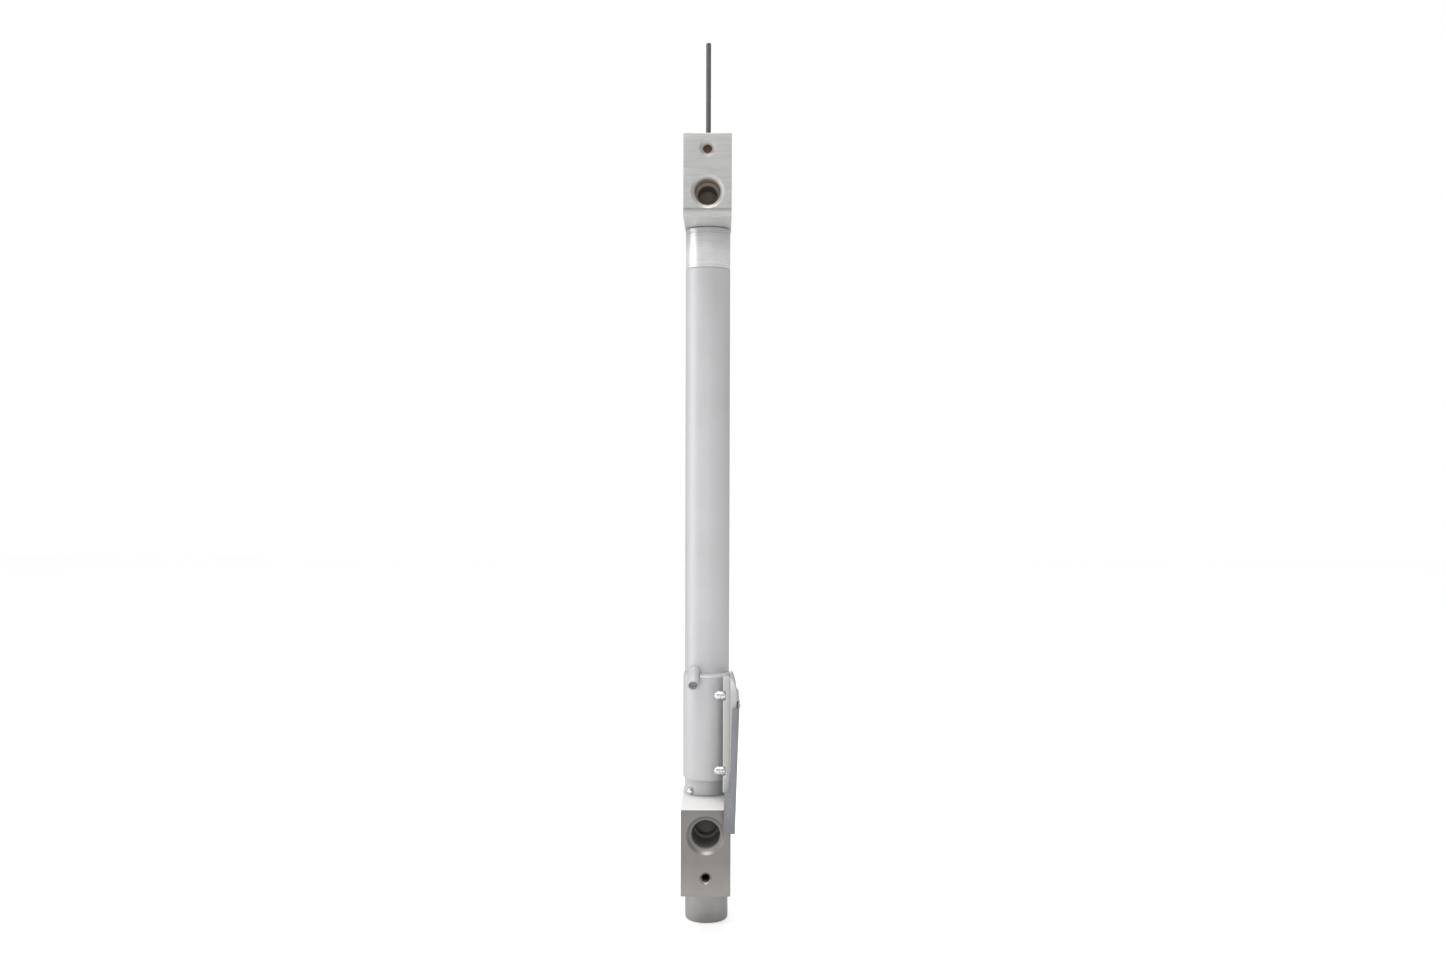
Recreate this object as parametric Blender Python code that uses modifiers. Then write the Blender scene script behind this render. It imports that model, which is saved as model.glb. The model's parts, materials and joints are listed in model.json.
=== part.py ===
"""Gate opener arm: a slim electric ram for a swing gate, modelled as its separate pieces.

Metres, +Z along the arm towards the push rod. The origin is where the axis of the rear pivot socket crosses the
axis of the arm. Both pivot sockets open towards -Y, and the switch unit sits on the +X side.
"""

import math

import bmesh
import bpy
from mathutils import Matrix, Vector

MM = 0.001
GAP = 0.3 * MM                      # left between pieces that touch
RUNNING_GAP = 0.25 * MM             # radial, between a moving piece and its guide

# the arm's length, along Z
END_CAP_BOTTOM = -115 * MM
REAR_BLOCK_BOTTOM, REAR_BLOCK_TOP = -66 * MM, 28 * MM
HOUSING_BOTTOM, HOUSING_TOP = 47 * MM, 165 * MM
COLLAR_BOTTOM = 618 * MM
FRONT_BLOCK_BOTTOM, FRONT_BLOCK_TOP = 663 * MM, 752 * MM
FRONT_SOCKET_Z = 690 * MM
ROD_TIP = 872.5 * MM

# across the arm
TUBE_R, TUBE_BORE_R = 25 * MM, 22 * MM
END_CAP_R, END_CAP_BORE_R = 24.2 * MM, 20.3 * MM
BLOCK_FRONT, BLOCK_BACK = -86 * MM, 27 * MM
REAR_BLOCK_HALF, FRONT_BLOCK_HALF = 26.9 * MM, 25.9 * MM
MOTOR_BORE_R = 20 * MM
ROD_R = 2.8 * MM
PUSH_TUBE_R, PUSH_TUBE_BORE_R = 11 * MM, 8.5 * MM
HOUSING_R = 26.4 * MM
HOUSING_SHIFT = 14 * MM             # how far the housing's round front stands ahead of the tube's axis
HOUSING_EDGE_R = 3.2 * MM

# the pivot sockets and the threaded holes beside them
REAR_SOCKET = {"mouth": 20.8 * MM, "bore": 15.6 * MM, "step": 49 * MM, "inner": 12.4 * MM, "depth": 62 * MM}
FRONT_SOCKET = {"mouth": 17.8 * MM, "bore": 14 * MM, "step": 26 * MM, "inner": 10.5 * MM, "depth": 58 * MM}
REAR_HOLE_Z, FRONT_HOLE_Z = -46 * MM, 736 * MM
SMALL_HOLE_R = 5.3 * MM

# the planetary stage: the ring is fixed, the sun drives, and the planets' carrier turns the screw
MODULE = 0.7 * MM
SUN_TEETH, PLANET_TEETH = 12, 18
RING_TEETH = SUN_TEETH + 2 * PLANET_TEETH
PLANET_ORBIT_R = MODULE * (SUN_TEETH + PLANET_TEETH) / 2
PLANET_ANGLES = [90, 210, 330]
GEAR_BOTTOM, GEAR_TOP = -24 * MM, -14 * MM

# the lead screw
SCREW_PITCH = 6 * MM
SCREW_CREST_R, SCREW_ROOT_R = 6 * MM, 4.6 * MM
THREAD_BOTTOM, THREAD_TOP = 40 * MM, 316 * MM

# the switch unit on the +X side
UNIT_LEFT, UNIT_SPLIT, UNIT_RIGHT = 26.4 * MM, 32.9 * MM, 35.9 * MM
POCKET_LEFT = 29.4 * MM
UNIT_FRONT, UNIT_BACK = -94 * MM, -8 * MM
PLATE_LEFT, PLATE_RIGHT = 18.3 * MM, 26.1 * MM
PLATE_FRONT, PLATE_BACK = -64 * MM, -41.5 * MM
PLATE_BOTTOM, PLATE_TOP = 41 * MM, 166 * MM
BRACKET_SCREW_Y, BRACKET_SCREW_Z = -56.5 * MM, [64.1 * MM, 146.4 * MM]
BRACKET_HOLE_R = 2.6 * MM
COVER_TOP = 144 * MM
COVER_SCREWS = [(-24 * MM, 12 * MM), (-24 * MM, 134 * MM), (-78 * MM, 138 * MM)]    # (y, z)

UNIT_LEAN = math.radians(1.9)       # the cover's outer side leans in towards its lower end
UNIT_PIVOT = Vector((34.1 * MM, 0, 143 * MM))
SPACER_LENGTH, SPACER_R = 5.6 * MM, 4.9 * MM
SCREW_SEAT = 15 * MM                # x of the bracket screws' seats

# the elbow at the housing's upper left
ELBOW_BEND = Vector((-14.4 * MM, -33 * MM, 167.5 * MM))
ELBOW_R, ELBOW_LENGTH, ELBOW_TILT = 6.4 * MM, 24 * MM, math.radians(28)

DRAIN_SCREW_ANGLE, DRAIN_SCREW_Z = math.radians(-45), 32.4 * MM

# the motor, inside the rear block's bore and the end cap
CAN_R, CAN_BORE_R = 19.7 * MM, 18.1 * MM
CAN_BOTTOM, CAN_TOP = -104 * MM, -34 * MM
SHAFT_R, SHAFT_BOTTOM, SHAFT_TOP = 2.45 * MM, -103.6 * MM, -13.8 * MM
ON_SHAFT_R = 2.6 * MM               # the bore of what sits on the motor's shaft
MOTOR_BEARING_R = 6.2 * MM
ROTOR_MIDDLE = -70 * MM

# the push tube, between the drive nut and the rod
PUSH_TUBE_BOTTOM, PUSH_TUBE_TOP = 70.3 * MM, 340 * MM
NUT_BOTTOM, NUT_TOP = 44 * MM, 80 * MM

ROUND_STEPS = 48
INNER_STEPS = 32
SMALL_STEPS = 24

MATERIALS = {
    # name: (colour, metallic, roughness)
    "bare_steel": ((0.62, 0.62, 0.61), 0.8, 0.42),
    "raw_steel": ((0.40, 0.36, 0.33), 0.8, 0.45),
    "cap_steel": ((0.47, 0.46, 0.45), 1.0, 0.36),
    "silver_paint": ((0.66, 0.66, 0.67), 0.35, 0.40),
    "polished_steel": ((0.72, 0.72, 0.73), 1.0, 0.22),
    "rod_steel": ((0.10, 0.10, 0.11), 0.9, 0.38),
    "zinc": ((0.80, 0.81, 0.82), 1.0, 0.25),
    "light_cast": ((0.56, 0.57, 0.54), 0.1, 0.50),
    "dark_plastic": ((0.08, 0.085, 0.10), 0.0, 0.45),
    "rubber": ((0.02, 0.02, 0.02), 0.0, 0.80),
    "brass": ((0.62, 0.42, 0.20), 1.0, 0.35),
    "bronze": ((0.55, 0.34, 0.16), 1.0, 0.40),
    "gear_steel": ((0.42, 0.42, 0.44), 1.0, 0.30),
    "ferrite": ((0.07, 0.07, 0.075), 0.1, 0.60),
    "copper": ((0.72, 0.35, 0.20), 1.0, 0.30),
    "board_green": ((0.03, 0.22, 0.09), 0.0, 0.45),
    "white_plastic": ((0.80, 0.80, 0.76), 0.0, 0.45),
}


# ---------------------------------------------------------------- scene and materials

def clear_scene():
    for obj in list(bpy.data.objects):
        bpy.data.objects.remove(obj, do_unlink=True)


def new_collection(name):
    collection = bpy.data.collections.new(name)
    bpy.context.scene.collection.children.link(collection)
    return collection


def material(name):
    found = bpy.data.materials.get(name)
    if found:
        return found
    colour, metallic, roughness = MATERIALS[name]
    made = bpy.data.materials.new(name)
    made.use_nodes = True
    shader = made.node_tree.nodes["Principled BSDF"]
    shader.inputs["Base Color"].default_value = (*colour, 1.0)
    shader.inputs["Metallic"].default_value = metallic
    shader.inputs["Roughness"].default_value = roughness
    return made


# ---------------------------------------------------------------- shapes

def add_piece(name, mesh, finish, place=(0, 0, 0), parent=None):
    """A named sub-part in the arm's collection, parented to an empty that stands for its moving body."""
    obj = bpy.data.objects.new(name, mesh)
    ARM.objects.link(obj)
    obj.data.materials.append(material(finish))
    obj.location = place
    if parent:
        obj.parent = parent
        obj.location = Vector(place) - parent.location
    return obj


def add_cutter(name, mesh, place=(0, 0, 0)):
    obj = bpy.data.objects.new(name, mesh)
    CUTTERS.objects.link(obj)
    obj.location = place
    obj.hide_render = True
    obj.display_type = "WIRE"
    return obj


def cut(target, cutter, operation="DIFFERENCE"):
    modifier = target.modifiers.new(cutter.name, "BOOLEAN")
    modifier.operation = operation
    modifier.solver = "EXACT"
    modifier.object = cutter


def box_mesh(low, high):
    """A box between two corners, its scale already in the mesh."""
    low, high = Vector(low), Vector(high)
    mesh = bpy.data.meshes.new("box")
    made = bmesh.new()
    bmesh.ops.create_cube(made, size=1.0)
    size = high - low
    bmesh.ops.transform(made, matrix=Matrix.Translation((low + high) / 2) @ Matrix.Diagonal((*size, 1)),
                        verts=made.verts)
    made.to_mesh(mesh)
    made.free()
    return mesh


def cylinder_mesh(radius, length, axis="Z", steps=SMALL_STEPS, top_radius=None):
    """A closed cylinder or cone that starts at the origin and runs along +axis."""
    mesh = bpy.data.meshes.new("cylinder")
    made = bmesh.new()
    top = radius if top_radius is None else top_radius
    bmesh.ops.create_cone(made, cap_ends=True, segments=steps, radius1=radius, radius2=top, depth=length)
    turn = {"Z": Matrix.Identity(4), "X": Matrix.Rotation(math.pi / 2, 4, "Y"),
            "Y": Matrix.Rotation(-math.pi / 2, 4, "X")}[axis]
    bmesh.ops.transform(made, matrix=turn @ Matrix.Translation((0, 0, length / 2)), verts=made.verts)
    made.to_mesh(mesh)
    made.free()
    return mesh


def profile_mesh(points, closed):
    """An outline in the XZ plane, as (radius, height) points, for a Screw modifier."""
    mesh = bpy.data.meshes.new("profile")
    count = len(points)
    edges = [(i, i + 1) for i in range(count - 1)] + ([(count - 1, 0)] if closed else [])
    mesh.from_pydata([(r, 0, z) for r, z in points], edges, [])
    return mesh


def screw(obj, steps):
    modifier = obj.modifiers.new("turn", "SCREW")
    modifier.axis = "Z"
    modifier.angle = math.tau
    modifier.steps = modifier.render_steps = steps
    modifier.use_merge_vertices = True
    modifier.merge_threshold = 0.00001
    modifier.use_smooth_shade = True


def turned(name, points, finish, place=(0, 0, 0), parent=None, steps=ROUND_STEPS):
    """A turned piece. Its profile starts and ends on the axis, running down the outer side."""
    obj = add_piece(name, profile_mesh(points, closed=False), finish, place, parent)
    screw(obj, steps)
    return obj


def ring(name, points, finish, place=(0, 0, 0), parent=None, steps=ROUND_STEPS):
    """A turned piece with a hole through it. Its closed profile runs down the outer side first."""
    obj = add_piece(name, profile_mesh(points, closed=True), finish, place, parent)
    screw(obj, steps)
    return obj


def plain_ring(name, outer, inner, low, high, finish, parent=None, steps=ROUND_STEPS, place=(0, 0, 0)):
    return ring(name, [(outer, high), (outer, low), (inner, low), (inner, high)], finish, place, parent, steps)


def bevel(obj, width, segments=2, angle=30):
    modifier = obj.modifiers.new("edges", "BEVEL")
    modifier.width = width
    modifier.segments = segments
    modifier.limit_method = "ANGLE"
    modifier.angle_limit = math.radians(angle)


def flat_outline(name, loops, thickness, finish, place, parent=None):
    """A 2D curve of closed loops filled and extruded along Z; inner loops are holes."""
    curve = bpy.data.curves.new(name, "CURVE")
    curve.dimensions = "2D"
    curve.fill_mode = "BOTH"
    curve.extrude = thickness / 2
    for loop in loops:
        spline = curve.splines.new("POLY")
        spline.points.add(len(loop) - 1)
        for point, (x, y) in zip(spline.points, loop):
            point.co = (x, y, 0, 1)
        spline.use_cyclic_u = True
    return add_piece(name, curve, finish, place, parent)


def circle_loop(radius, steps=SMALL_STEPS, centre=(0, 0)):
    return [(centre[0] + radius * math.cos(math.tau * i / steps), centre[1] + radius * math.sin(math.tau * i / steps))
            for i in range(steps)]


def moving_body(name, place=(0, 0, 0)):
    """An empty on the joint's axis, which the body's pieces are parented to."""
    empty = bpy.data.objects.new(name, None)
    ARM.objects.link(empty)
    empty.location = place
    return empty


# ---------------------------------------------------------------- mounting blocks and tube

def socket_cutter(name, socket, z):
    """A stepped blind hole along Y with a countersunk mouth, open at the block's front face."""
    over = 2 * MM
    chamfer = socket["mouth"] - socket["bore"]
    profile = [(0, 0), (socket["mouth"] + over, 0), (socket["bore"], -chamfer - over),
               (socket["bore"], -socket["step"] - over), (socket["inner"], -socket["step"] - over),
               (socket["inner"], -socket["depth"] - over), (0, -socket["depth"] - over)]
    cutter = add_cutter(name, profile_mesh(profile, closed=False), (0, BLOCK_FRONT - over, z))
    screw(cutter, ROUND_STEPS)
    cutter.rotation_euler = (math.pi / 2, 0, 0)
    return cutter


def small_hole_cutter(name, z, mouth, depth):
    """The hole beside a socket, with a countersink and a drill point."""
    over = 1 * MM
    chamfer = mouth - SMALL_HOLE_R
    profile = [(0, 0), (mouth + over, 0), (SMALL_HOLE_R, -chamfer - over), (SMALL_HOLE_R, -depth - over),
               (0, -depth - over - SMALL_HOLE_R * 0.6)]
    cutter = add_cutter(name, profile_mesh(profile, closed=False), (0, BLOCK_FRONT - over, z))
    screw(cutter, SMALL_STEPS)
    cutter.rotation_euler = (math.pi / 2, 0, 0)
    return cutter


def make_rear_block():
    block = add_piece("rear_block", box_mesh((-REAR_BLOCK_HALF, BLOCK_FRONT, REAR_BLOCK_BOTTOM),
                                             (REAR_BLOCK_HALF, BLOCK_BACK, REAR_BLOCK_TOP)), "raw_steel")
    bevel(block, 1.2 * MM, segments=2)
    length = REAR_BLOCK_TOP - REAR_BLOCK_BOTTOM + 2 * MM
    cut(block, add_cutter("motor_bore", cylinder_mesh(MOTOR_BORE_R, length, steps=ROUND_STEPS),
                          (0, 0, REAR_BLOCK_BOTTOM - MM)))
    cut(block, socket_cutter("rear_socket", REAR_SOCKET, 0))
    cut(block, small_hole_cutter("rear_thread", REAR_HOLE_Z, 6.6 * MM, 26 * MM))


def make_front_block():
    block = add_piece("front_block", box_mesh((-FRONT_BLOCK_HALF, BLOCK_FRONT, FRONT_BLOCK_BOTTOM),
                                              (FRONT_BLOCK_HALF, BLOCK_BACK, FRONT_BLOCK_TOP)), "bare_steel")
    bevel(block, 0.8 * MM, segments=2)
    relief = add_cutter("front_relief", box_mesh((-40 * MM, -8 * MM, 0), (40 * MM, 0, 12 * MM)),
                        (0, BLOCK_FRONT, FRONT_BLOCK_BOTTOM - 3 * MM))
    relief.rotation_euler = (math.radians(-9), 0, 0)
    cut(block, relief)
    cut(block, add_cutter("rod_way", cylinder_mesh(7 * MM, 60 * MM), (0, 0, FRONT_BLOCK_BOTTOM - MM)))
    cut(block, add_cutter("rod_exit", cylinder_mesh(4.2 * MM, 60 * MM), (0, 0, FRONT_BLOCK_TOP - 50 * MM)))
    cut(block, add_cutter("wiper_seat", cylinder_mesh(6.5 * MM, 9 * MM), (0, 0, FRONT_BLOCK_TOP - 5 * MM)))
    cut(block, socket_cutter("front_socket", FRONT_SOCKET, FRONT_SOCKET_Z))
    cut(block, small_hole_cutter("front_thread", FRONT_HOLE_Z, 9 * MM, 26 * MM))


def make_hole_fittings():
    """The brass thread insert at the rear, and the brass plug deep in the front hole."""
    outer = SMALL_HOLE_R - 0.1 * MM
    insert = ring("rear_thread_insert", [(outer, 0), (outer, -18 * MM), (3.9 * MM, -18 * MM), (3.9 * MM, 0)],
                  "brass", (0, BLOCK_FRONT + 3 * MM, REAR_HOLE_Z), steps=SMALL_STEPS)
    insert.rotation_euler = (math.pi / 2, 0, 0)
    plug = turned("front_thread_plug", [(0, -2 * MM), (2.4 * MM, -2 * MM), (2.4 * MM, 0), (outer, 0),
                                        (outer, -10 * MM), (0, -10 * MM)],
                  "brass", (0, BLOCK_FRONT + 8 * MM, FRONT_HOLE_Z), steps=SMALL_STEPS)
    plug.rotation_euler = (math.pi / 2, 0, 0)


def make_tube():
    low, high = REAR_BLOCK_TOP + GAP, COLLAR_BOTTOM - GAP
    tube = plain_ring("outer_tube", TUBE_R, TUBE_BORE_R, low, high, "silver_paint")
    hole = add_cutter("drain_hole", cylinder_mesh(2.7 * MM, 30 * MM))
    hole.rotation_euler = (math.pi / 2, 0, DRAIN_SCREW_ANGLE)
    hole.location = (0, 0, DRAIN_SCREW_Z)
    cut(tube, hole)


def make_collar():
    """The polished gland at the tube's front end, with a spigot inside the tube and a seat for the rod's bush."""
    top, spigot_r = FRONT_BLOCK_BOTTOM - GAP, TUBE_BORE_R - 0.2 * MM
    ring("front_collar", [(TUBE_R - MM, top), (TUBE_R, top - MM), (TUBE_R, COLLAR_BOTTOM + MM),
                          (TUBE_R - MM, COLLAR_BOTTOM), (spigot_r, COLLAR_BOTTOM),
                          (spigot_r, COLLAR_BOTTOM - 14 * MM), (6 * MM, COLLAR_BOTTOM - 14 * MM), (6 * MM, top)],
         "polished_steel")
    plain_ring("rod_bush", 5.8 * MM, ROD_R + RUNNING_GAP, COLLAR_BOTTOM - 12 * MM, top - 6 * MM, "bronze",
               steps=SMALL_STEPS)
    low = FRONT_BLOCK_TOP - 4.7 * MM
    ring("wiper_seal", [(4.2 * MM, FRONT_BLOCK_TOP + 2 * MM), (6.2 * MM, FRONT_BLOCK_TOP), (6.2 * MM, low),
                        (ROD_R + RUNNING_GAP, low), (ROD_R + RUNNING_GAP, FRONT_BLOCK_TOP + 2 * MM)],
         "rubber", steps=SMALL_STEPS)


def make_end_cap():
    """The round end that closes the motor bore, a turned cup."""
    top, floor = REAR_BLOCK_BOTTOM - GAP, END_CAP_BOTTOM + 9 * MM
    cap = turned("end_cap", [(0, floor), (END_CAP_BORE_R, floor), (END_CAP_BORE_R, top), (END_CAP_R, top),
                             (END_CAP_R, END_CAP_BOTTOM + 1.6 * MM), (END_CAP_R - 0.5 * MM, END_CAP_BOTTOM + 0.5 * MM),
                             (END_CAP_R - 1.6 * MM, END_CAP_BOTTOM), (0, END_CAP_BOTTOM)], "cap_steel")
    cut(cap, add_cutter("lead_way", cylinder_mesh(4 * MM, 14 * MM, "Y"), (0, 15 * MM, -90 * MM)))
    gland = ring("cable_gland", [(6 * MM, 12 * MM), (7.5 * MM, 10.5 * MM), (7.5 * MM, 2 * MM), (9 * MM, 2 * MM),
                                 (9 * MM, -5 * MM), (3.7 * MM, -5 * MM), (3.7 * MM, 12 * MM)],
                 "dark_plastic", (0, END_CAP_R + 5 * MM + GAP, -90 * MM), steps=SMALL_STEPS)
    gland.rotation_euler = (-math.pi / 2, 0, 0)


# ---------------------------------------------------------------- the housing on the tube and its bracket

def make_housing():
    """A sleeve round the tube whose front stands proud, with a pocket behind that front for the sensor board."""
    height = HOUSING_TOP - HOUSING_BOTTOM
    front = circle_loop(HOUSING_R, 64, (0, -HOUSING_SHIFT))
    back = circle_loop(HOUSING_R, 64)
    left = (-HOUSING_R, 0)
    outline = ([(HOUSING_R, 0)] + [p for p in back if p[1] > 1e-6] + [left, (-HOUSING_R, -HOUSING_SHIFT)]
               + [p for p in front if p[1] < -HOUSING_SHIFT - 1e-6] + [(HOUSING_R, -HOUSING_SHIFT)])
    mesh = bpy.data.meshes.new("housing")
    made = bmesh.new()
    face = made.faces.new([made.verts.new((x, y, HOUSING_BOTTOM)) for x, y in outline])
    top = bmesh.ops.extrude_face_region(made, geom=[face])
    bmesh.ops.translate(made, vec=(0, 0, height), verts=[v for v in top["geom"] if isinstance(v, bmesh.types.BMVert)])
    bmesh.ops.recalc_face_normals(made, faces=made.faces)
    made.to_mesh(mesh)
    made.free()
    housing = add_piece("gear_housing", mesh, "silver_paint")
    bevel(housing, HOUSING_EDGE_R, segments=3, angle=55)
    cut(housing, add_cutter("tube_way", cylinder_mesh(TUBE_R + GAP, height + 4 * MM, steps=ROUND_STEPS),
                            (0, 0, HOUSING_BOTTOM - 2 * MM)))
    cut(housing, add_cutter("board_pocket", box_mesh((-13 * MM, -35 * MM, 58 * MM), (13 * MM, -20 * MM, 138 * MM))))
    add_piece("position_board", box_mesh((-11 * MM, -31 * MM, 62 * MM), (11 * MM, -29.4 * MM, 134 * MM)),
              "board_green")
    return housing


def make_housing_fittings(housing):
    """The breather elbow at the upper left, seated on the tube, and the domed drain screw at the lower left."""
    recess_r, recess_depth = 5 * MM, 4 * MM
    elbow = turned("breather_elbow", [(0, ELBOW_LENGTH - recess_depth), (recess_r, ELBOW_LENGTH - recess_depth),
                                      (recess_r, ELBOW_LENGTH), (ELBOW_R - 0.6 * MM, ELBOW_LENGTH),
                                      (ELBOW_R, ELBOW_LENGTH - 0.8 * MM), (ELBOW_R, 0), (0, 0)],
                   "silver_paint", ELBOW_BEND, steps=SMALL_STEPS)
    elbow.rotation_euler = (math.pi / 2 + ELBOW_TILT, 0, 0)
    knuckle = bpy.data.meshes.new("knuckle")
    made = bmesh.new()
    bmesh.ops.create_uvsphere(made, u_segments=SMALL_STEPS, v_segments=12, radius=ELBOW_R + 0.2 * MM)
    made.to_mesh(knuckle)
    made.free()
    cut(elbow, add_cutter("elbow_knuckle", knuckle, ELBOW_BEND), "UNION")
    leg_back = -12 * MM
    leg = add_cutter("elbow_leg", cylinder_mesh(ELBOW_R - 0.2 * MM, leg_back - ELBOW_BEND.y, "Y"),
                     (ELBOW_BEND.x, ELBOW_BEND.y, ELBOW_BEND.z))
    cut(elbow, leg, "UNION")
    cut(elbow, add_cutter("elbow_saddle", cylinder_mesh(TUBE_R + GAP, 40 * MM, steps=ROUND_STEPS),
                          (0, 0, ELBOW_BEND.z - 20 * MM)))
    cut(housing, add_cutter("elbow_seat", cylinder_mesh(ELBOW_R + 0.6 * MM, 40 * MM, "Y"),
                            (ELBOW_BEND.x, ELBOW_BEND.y - 10 * MM, ELBOW_BEND.z)))
    seat = add_cutter("elbow_lower_seat", cylinder_mesh(ELBOW_R + 0.5 * MM, ELBOW_LENGTH + 10 * MM), ELBOW_BEND)
    seat.rotation_euler = elbow.rotation_euler
    cut(housing, seat)
    head = turned("drain_screw", [(0, 3.4 * MM), (2 * MM, 3.1 * MM), (3.6 * MM, 1.9 * MM), (4 * MM, 0),
                                  (2.4 * MM, 0), (2.4 * MM, -3 * MM), (0, -3 * MM)], "zinc", steps=16)
    head.rotation_euler = (math.pi / 2, 0, DRAIN_SCREW_ANGLE)
    out = TUBE_R + GAP
    head.location = (out * math.sin(DRAIN_SCREW_ANGLE), -out * math.cos(DRAIN_SCREW_ANGLE), DRAIN_SCREW_Z)


def make_bracket():
    """The upright plate beside the switch unit, and the two screws with spacers that go through it along X."""
    plate = add_piece("side_bracket", box_mesh((PLATE_LEFT, PLATE_FRONT, PLATE_BOTTOM),
                                               (PLATE_RIGHT, PLATE_BACK, PLATE_TOP)), "light_cast")
    bevel(plate, 2 * MM, segments=3)
    for number, z in enumerate(BRACKET_SCREW_Z, 1):
        spacer_end = SCREW_SEAT + GAP + SPACER_LENGTH
        hole = add_cutter(f"bracket_hole_{number}", cylinder_mesh(BRACKET_HOLE_R, 20 * MM, "X", 16),
                          (12 * MM, BRACKET_SCREW_Y, z))
        cut(plate, hole)
        half = SPACER_R + GAP
        notch = add_cutter(f"bracket_notch_{number}", box_mesh((12 * MM, PLATE_FRONT - 4 * MM, z - half),
                                                               (spacer_end + GAP, BRACKET_SCREW_Y + half, z + half)))
        cut(plate, notch)
        spacer = plain_ring(f"bracket_spacer_{number}", SPACER_R, BRACKET_HOLE_R, -SPACER_LENGTH, 0, "zinc",
                            steps=SMALL_STEPS)
        spacer.rotation_euler = (0, -math.pi / 2, 0)
        spacer.location = (SCREW_SEAT + GAP, BRACKET_SCREW_Y, z)
        shank = BRACKET_HOLE_R - GAP
        bolt = turned(f"bracket_screw_{number}", [(0, 6.3 * MM), (2.4 * MM, 5.9 * MM), (4.4 * MM, 3.8 * MM),
                                                  (SPACER_R, 0), (shank, 0), (shank, -9.8 * MM), (0, -9.8 * MM)],
                      "zinc", steps=SMALL_STEPS)
        bolt.rotation_euler = (0, -math.pi / 2, 0)
        bolt.location = (SCREW_SEAT, BRACKET_SCREW_Y, z)


# ---------------------------------------------------------------- the switch unit

def rounded_slab(low, high, radius_top, radius_bottom, steps=6):
    """A slab in the YZ plane's outline with rounded corners, thick along X, as a closed mesh."""
    (x0, y0, z0), (x1, y1, z1) = low, high
    corners = [((y1 - radius_top, z1 - radius_top), radius_top, 0), ((y0 + radius_top, z1 - radius_top), radius_top, 90),
               ((y0 + radius_bottom, z0 + radius_bottom), radius_bottom, 180),
               ((y1 - radius_bottom, z0 + radius_bottom), radius_bottom, 270)]
    points = []
    for (cy, cz), radius, start in corners:
        for i in range(steps + 1):
            a = math.radians(start + 90 * i / steps)
            points.append((cy + radius * math.cos(a), cz + radius * math.sin(a)))
    mesh = bpy.data.meshes.new("slab")
    made = bmesh.new()
    face = made.faces.new([made.verts.new((x0, y, z)) for y, z in points])
    top = bmesh.ops.extrude_face_region(made, geom=[face])
    bmesh.ops.translate(made, vec=(x1 - x0, 0, 0), verts=[v for v in top["geom"] if isinstance(v, bmesh.types.BMVert)])
    bmesh.ops.recalc_face_normals(made, faces=made.faces)
    made.to_mesh(mesh)
    made.free()
    return mesh


def lean(obj):
    """Leans a piece of the switch unit about the cover's upper end."""
    turn = Matrix.Rotation(UNIT_LEAN, 3, "Y")
    obj.location = UNIT_PIVOT + turn @ (obj.location - UNIT_PIVOT)
    obj.rotation_euler = (turn @ obj.rotation_euler.to_matrix()).to_euler()
    return obj


def brow_cutter():
    """What is cut from the switch body so that its upper end is rounded towards the outer side."""
    edge = [(0, 169.0), (2.7, 165.6), (4.5, 161.2), (5.8, 156.0), (6.6, 150.5), (7.3, 147.2), (9.1, 145.2), (30, 145.2),
            (30, 190), (0, 190)]    # (x from the unit's left side, z), in mm
    outline = [(UNIT_LEFT + x * MM, z * MM) for x, z in edge]
    mesh = bpy.data.meshes.new("brow")
    made = bmesh.new()
    face = made.faces.new([made.verts.new((x, -100 * MM, z)) for x, z in outline])
    top = bmesh.ops.extrude_face_region(made, geom=[face])
    bmesh.ops.translate(made, vec=(0, 110 * MM, 0), verts=[v for v in top["geom"] if isinstance(v, bmesh.types.BMVert)])
    bmesh.ops.recalc_face_normals(made, faces=made.faces)
    made.to_mesh(mesh)
    made.free()
    return add_cutter("body_brow", mesh)


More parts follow.
